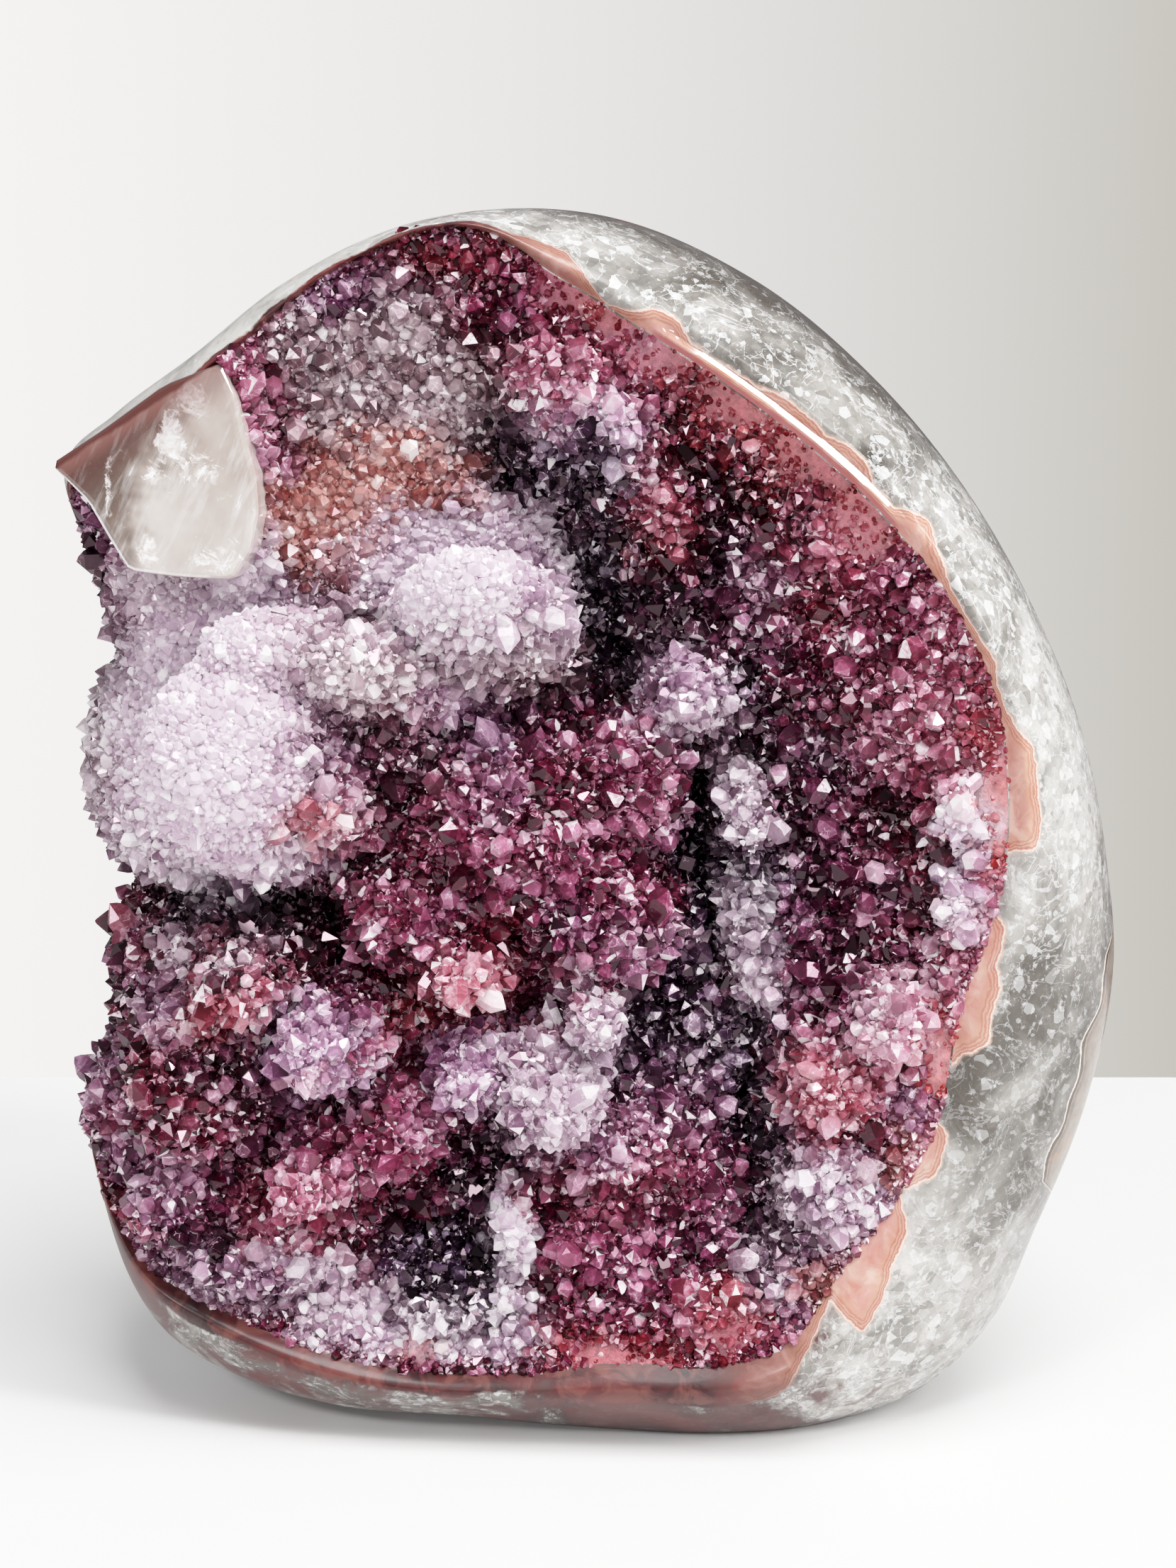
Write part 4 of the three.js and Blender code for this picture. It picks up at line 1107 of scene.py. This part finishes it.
def agate_material():
    """Milky quartz, then red stains, the salmon band, old rind and the back, each over the last."""
    made, tree, shader = material(
        "polished_agate", IOR=QUARTZ_IOR, Coat_Roughness=0.04, Specular_IOR_Level=0.22, Subsurface_Weight=0.2,
        Subsurface_Radius=(1.0, 0.85, 0.8), Subsurface_Scale=0.002)
    names = ("band", "across", "rind", "milk", "mosaic", "smoke", "stain", "wine", "glaze")
    band, across, rind, milk, mosaic, smoke, stain, wine, glaze = (attribute(tree, name) for name in names)
    place = object_place(tree)
    bent = place + (place.noise(160, 3, 0.5, out=1) - (0.5, 0.5, 0.5)) * (0.0012, 0.0012, 0.0012)
    # Crystalline quartz: milky clouds over grown facets, with bright seams and flecks between them.
    cloud = place.noise(75, 7, 0.62, 0.6)
    milky = cloud.spread(0.36, 0.64, -0.4, 0.4) + milk
    body = mix(milky.spread(0.0, 1.2), (74, 69, 63), (183, 180, 175))
    gain = place.cells(240, -0.16, 0.16) + place.cells(600, -0.24, 0.24)
    gain = gain + bent.noise(320, 6, 0.7).spread(0.3, 0.7, -0.22, 0.22)
    body = tinted(body, gain * mosaic + 1.0)
    for scale in (600, 1400):
        lot = place.cells(scale, 0, 1)
        body = mix(lot.spread(0.93, 0.95, 0, 0.5) * mosaic, body, (232, 234, 234))
        body = mix(lot.spread(0.08, 0.06, 0, 0.3) * mosaic, body, (96, 90, 84))
    flecks = bent.noise(520, 5, 0.7, 0.3)
    seam = place.seams(600).spread(0.04, 0.0, 0, 0.5) * flecks.spread(0.5, 0.56)
    body = mix(seam * mosaic, body, WHITE_QUARTZ)
    body = layered(body, (flecks, 0.6, 0.68, 0.4, WHITE_QUARTZ), (flecks, 0.4, 0.33, 0.45, (92, 88, 84)))
    for scale, wide, shade in ((110, 0.014, (238, 239, 240)), (190, 0.01, (112, 107, 102))):
        vein = abs(bent.noise(scale, 6, 0.6, 1.0) - 0.5).spread(wide, 0, 0, 0.5)
        body = mix(vein * mosaic, body, shade)
    edge = across.spread(0.42, 0.85) * cloud.spread(0.3, 0.7, 1.1, 0.7)
    body = mix(edge * smoke, body, (46, 38, 32))
    # Red agate stains in the quartz.
    patches = place.noise(95, 6, 0.62, 0.7)
    stained = mix(patches.spread(0.38, 0.62), (34, 14, 16), (80, 36, 35))
    stained = layered(stained, (cloud, 0.42, 0.62, 0.5, (76, 56, 54)))
    body = layered(body, (stain + patches.spread(0.3, 0.7, -0.5, 0.5), 0.45, 0.75, 0.95, stained))
    # Salmon agate with the fine lines of its toothed edge.
    wobble = place.noise(500, 4, 0.6)
    spots = place.noise(230, 4, 0.6, 0.8)
    salmon = layered(
        mix(patches.spread(0.38, 0.6), (156, 98, 86), (190, 146, 132)),
        (cloud, 0.42, 0.6, 0.6, (186, 122, 116)), (spots, 0.5, 0.66, 0.8, (208, 172, 158)),
        (spots, 0.46, 0.36, 0.6, (164, 98, 74)))
    line = band + wobble.spread(0.3, 0.7, -0.3, 0.3)
    lines = line.spread(-4, 1).ramp([
        (0.0, (186, 122, 118)), (0.3, (190, 130, 118)), (0.5, (184, 132, 108)), (0.56, (148, 82, 66)),
        (0.6, (192, 144, 124)), (0.66, (152, 86, 70)), (0.7, (196, 148, 130)), (0.745, (146, 76, 60)),
        (0.775, (202, 158, 142)), (0.8, (240, 224, 210)), (0.83, (206, 164, 144)), (0.9, (190, 176, 166)),
    ])
    salmon = mix(line.spread(-3.0, -0.6, 0.15, 0.8), salmon, lines)
    red = layered(
        mix(patches.spread(0.38, 0.62), (34, 11, 14), (82, 32, 32)),
        (spots, 0.48, 0.62, 0.6, (104, 60, 54)), (spots, 0.44, 0.36, 0.6, (58, 40, 38)))
    salmon = layered(salmon, (wine, 0.2, 0.9, 1, red), (glaze, 0, -0.6, 0.85, (160, 88, 92)))
    colour = mix(line.spread(-0.05, 0.5), salmon, body)
    # Old rind along the outer edge.
    crack = rind + wobble.spread(0.3, 0.7, -0.25, 0.25)
    rinded = crack.spread(-1, 3).ramp([
        (0.0, (200, 196, 190)), (0.17, (226, 216, 200)), (0.24, (238, 226, 206)), (0.27, (70, 50, 38)),
        (0.46, (54, 43, 38)), (0.52, (128, 112, 98)), (0.7, (96, 86, 78)), (1.0, (118, 106, 96)),
    ])
    rinded = tinted(rinded, place.noise(260, 9, 0.72).spread(0.3, 0.7, 0.6, 1.4))
    rinded = layered(rinded, (patches, 0.5, 0.62, 0.6, (150, 112, 88)))
    colour = mix(crack.spread(-0.5, -0.1), colour, rinded)
    # The back: smoky agate with faint layers round the heart, iron stains and dark pits.
    heart = bent - (0, 0, HEART[2] * MM)
    inputs = {"Vector": heart, "Scale": 75, "Distortion": 2.5, "Detail": 5, "Detail Scale": 1.5}
    wave = add(tree, "TexWave", inputs, out=1, wave_type="RINGS", rings_direction="SPHERICAL")
    stone = mix(place.noise(38, 9, 0.66, 0.6).spread(0.36, 0.64), (112, 104, 98), (192, 187, 181))
    stone = mix(wave.spread(0.55, 0.9, 0, 0.6) * cloud.spread(0.42, 0.6), stone, (216, 210, 203))
    stone = layered(
        stone, (place.noise(24, 9, 0.68, 0.5), 0.5, 0.66, 0.8, (142, 98, 78)),
        (flecks, 0.57, 0.64, 0.55, (90, 80, 73)), (flecks, 0.43, 0.36, 0.5, (222, 218, 213)))
    mix(across.spread(1.08, 1.35), colour, stone).into(shader, "Base Color")
    glaze.spread(0, 0.6, 0.05, 1).into(shader, "Coat Weight")
    (glaze.spread(0.0, 0.6, 0.24, 0.07) + stain.spread(0.4, 1) * 0.2).into(shader, "Roughness")
    return made


def window_material():
    """Smoky quartz with white veils, creamy towards its lower right, under a red-brown skin on top."""
    made, tree, shader = material(
        "clear_quartz", Roughness=0.05, IOR=QUARTZ_IOR, Coat_Weight=0.5, Coat_Roughness=0.02)
    place = object_place(tree)
    warp = place.noise(60, 4, 0.6)
    # Distances in metres from the top edge and along the pane's diagonal.
    edge = line_distance(place, WINDOW_TOP) + warp.spread(0.3, 0.7, -0.0008, 0.0008)
    lower = line_distance(place, WINDOW_CREAM) + warp.spread(0.3, 0.7, -0.004, 0.004)
    leaning = add(tree, "VectorRotate", {"Vector": place, "Angle": -WINDOW_LEAN}, rotation_type="Y_AXIS")
    streak = (leaning * (900.0, 300.0, 130.0)).noise(1.0, 5, 0.6)
    smoky, cream = (
        mix(warp.spread(0.35, 0.65), *shades)
        for shades in (((82, 63, 56), (128, 108, 99)), ((166, 152, 145), (208, 198, 191))))
    colour = mix(lower.spread(-0.002, 0.003), smoky, cream)
    colour = layered(colour, (streak, 0.5, 0.62, 0.35, (226, 220, 216)))
    veil = 0.0
    for x, z, rx, rz, most in WINDOW_VEILS:
        away = (place - ((x - ORIGIN[0]) * MM, 0, z * MM)) * (1 / rx / MM, 0, 1 / rz / MM)
        away = add(tree, "VectorMath", {0: away}, out=1, operation="LENGTH")
        veil = away.spread(1.2, 0.3, 0, most).joined("MAXIMUM", veil)
    veil = (veil + place.noise(260, 8, 0.75, 1.2).spread(0.35, 0.65, -0.5, 0.5)).spread(0.42, 0.66)
    white = mix(place.noise(620, 4, 0.6, 0.8).spread(0.42, 0.6), (196, 188, 184), (243, 240, 240))
    colour = mix(veil, colour, white)
    colour = layered(
        colour, (streak, 0.66, 0.7, 0.8, (240, 242, 248)), (edge, 0.0075, 0.0012, 0.85, (106, 66, 62)),
        (edge, 0.0009, 0.0004, 1, (72, 38, 34)))
    colour.into(shader, "Base Color")
    clear = (veil + lower.spread(-0.003, 0.004, 0, 0.7)).spread(0, 1, 0.5, 0.08) * edge.spread(0.001, 0.003)
    clear.into(shader, "Transmission Weight")
    return made


def line_distance(place, line):
    """Distance in metres from a line given by two points in x and z, positive on its right."""
    x, _, z = place.split("SeparateXYZ")
    (x0, z0), (x1, z1) = ((px - ORIGIN[0], pz) for px, pz in line)
    length = math.hypot(x1 - x0, z1 - z0)
    nx, nz = (z1 - z0) / length, -(x1 - x0) / length
    return x * nx + z * nz - (x0 * nx + z0 * nz) * MM


def table_material():
    made, tree, shader = material("table", Roughness=0.5)
    grain = object_place(tree).noise(40, 4, 0.5)
    darker = tuple(0.9 * c for c in TABLE_SHADE)
    mix(grain.spread(0.3, 0.7, 0, 0.06), TABLE_SHADE, darker).into(shader, "Base Color")
    return made


# Stage

def add_camera():
    data = bpy.data.cameras.new("camera")
    data.lens, data.sensor_width = 55, 36
    data.clip_start, data.clip_end = 0.01, 10
    camera = bpy.data.objects.new("camera", data)
    target = Vector((-0.0005, -0.0012, 0.095))
    tilt = math.radians(10)
    camera.location = target + 0.36 * Vector((0, -math.cos(tilt), math.sin(tilt)))
    camera.rotation_euler = (math.pi / 2 - tilt, 0, 0)
    bpy.context.scene.collection.objects.link(camera)
    bpy.context.scene.camera = camera


def add_light(name, place, target, size, power, along=(0, 0, 1)):
    """A soft box that points at a target, with its longer side along a direction."""
    data = bpy.data.lights.new(name, "AREA")
    data.shape, data.size, data.size_y = "RECTANGLE", *size
    data.energy = power
    light = bpy.data.objects.new(name, data)
    light.location = place
    back = (Vector(place) - Vector(target)).normalized()
    up = (Vector(along) - back * back.dot(Vector(along))).normalized()
    light.rotation_euler = Matrix((up.cross(back), up, back)).transposed().to_euler()
    bpy.context.scene.collection.objects.link(light)


def add_table():
    mesh = bpy.data.meshes.new("table")
    near, far, side, deep = -1.4, 0.16, 1.6, -0.03
    corners = [(-side, near, 0), (side, near, 0), (side, far, 0), (-side, far, 0)]
    corners += [(x, y, deep) for x, y, _ in corners]
    faces = [(0, 1, 2, 3), (0, 4, 5, 1), (1, 5, 6, 2), (2, 6, 7, 3), (3, 7, 4, 0), (7, 6, 5, 4)]
    mesh.from_pydata(corners, [], faces)
    table = bpy.data.objects.new("table", mesh)
    bpy.context.scene.collection.objects.link(table)
    mesh.materials.append(table_material())


def add_world():
    """A wall that darkens from left to right with painted shade, for the camera, and an even studio for all
    other rays.
    """
    world = bpy.data.worlds.new("studio")
    bpy.context.scene.world = world
    world.use_nodes = True
    tree = world.node_tree
    ground = tree.nodes["Background"]
    x, _, z = add(tree, "TexCoord").split("SeparateXYZ")
    # Painted shade on the wall: light at left, darker at right.
    wall = x.spread(-0.24, 0.24).ramp([
        (0.0, (231, 228, 226)), (0.5, (199, 197, 195)), (1.0, (155, 152, 145))])
    studio = mix(z.spread(-0.2, 0.9), (80, 80, 82), (126, 126, 128))
    mix(add(tree, "LightPath"), studio, wall).into(ground, "Color")
    ground.inputs["Strength"].default_value = 2.0


def build_stage():
    add_table()
    add_world()
    middle, crest = (0, 0, 0.09), (0.03, -0.025, 0.147)
    add_light("overhead", (0.3, -0.6, 1.9), middle, (1.1, 0.9), 60)
    add_light("key", (-0.9, -1.5, 1.3), middle, (0.3, 0.3), 18)
    add_light("front", (0.8, -1.9, 0.6), middle, (0.25, 0.3), 8)
    add_light("crest", (0.885, -0.61, 0.85), crest, (0.17, 0.85), 16, along=(0.47, 0.08, -0.495))
    add_light("left", (-1.9, -0.9, 0.5), middle, (0.2, 0.3), 6)
    add_light("right", (1.8, -0.9, 0.9), middle, (0.2, 0.3), 6)
    shoulder()


def shoulder():
    """A plain view with a soft roll-off, so that pale crystals keep their tone."""
    view = bpy.context.scene.view_settings
    view.view_transform = "Standard"
    view.use_curve_mapping = True
    curves = view.curve_mapping
    curves.white_level = (2.2, 2.2, 2.2)
    curve = curves.curves[3]
    for x, y in ((0.2, 0.42), (0.45, 0.74)):
        curve.points.new(x, y)
    curves.update()


add_camera()
build_stage()

crust = build_crust()
crystal, base = crystal_material(), base_material()
for n, piece in enumerate(crust):
    piece.data.materials.append(crystal if n else base)
    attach(piece, "root")
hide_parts("crystal_crust")

shell = build_shell()
shell.data.polygons.foreach_set("use_smooth", np.ones(len(shell.data.polygons), bool))
shell.data.set_sharp_from_angle(angle=math.radians(40))
shell.data.materials.append(agate_material())
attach(shell, "root")
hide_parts("agate_shell")

window = build_window()
window.data.materials.append(window_material())
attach(window, "root")
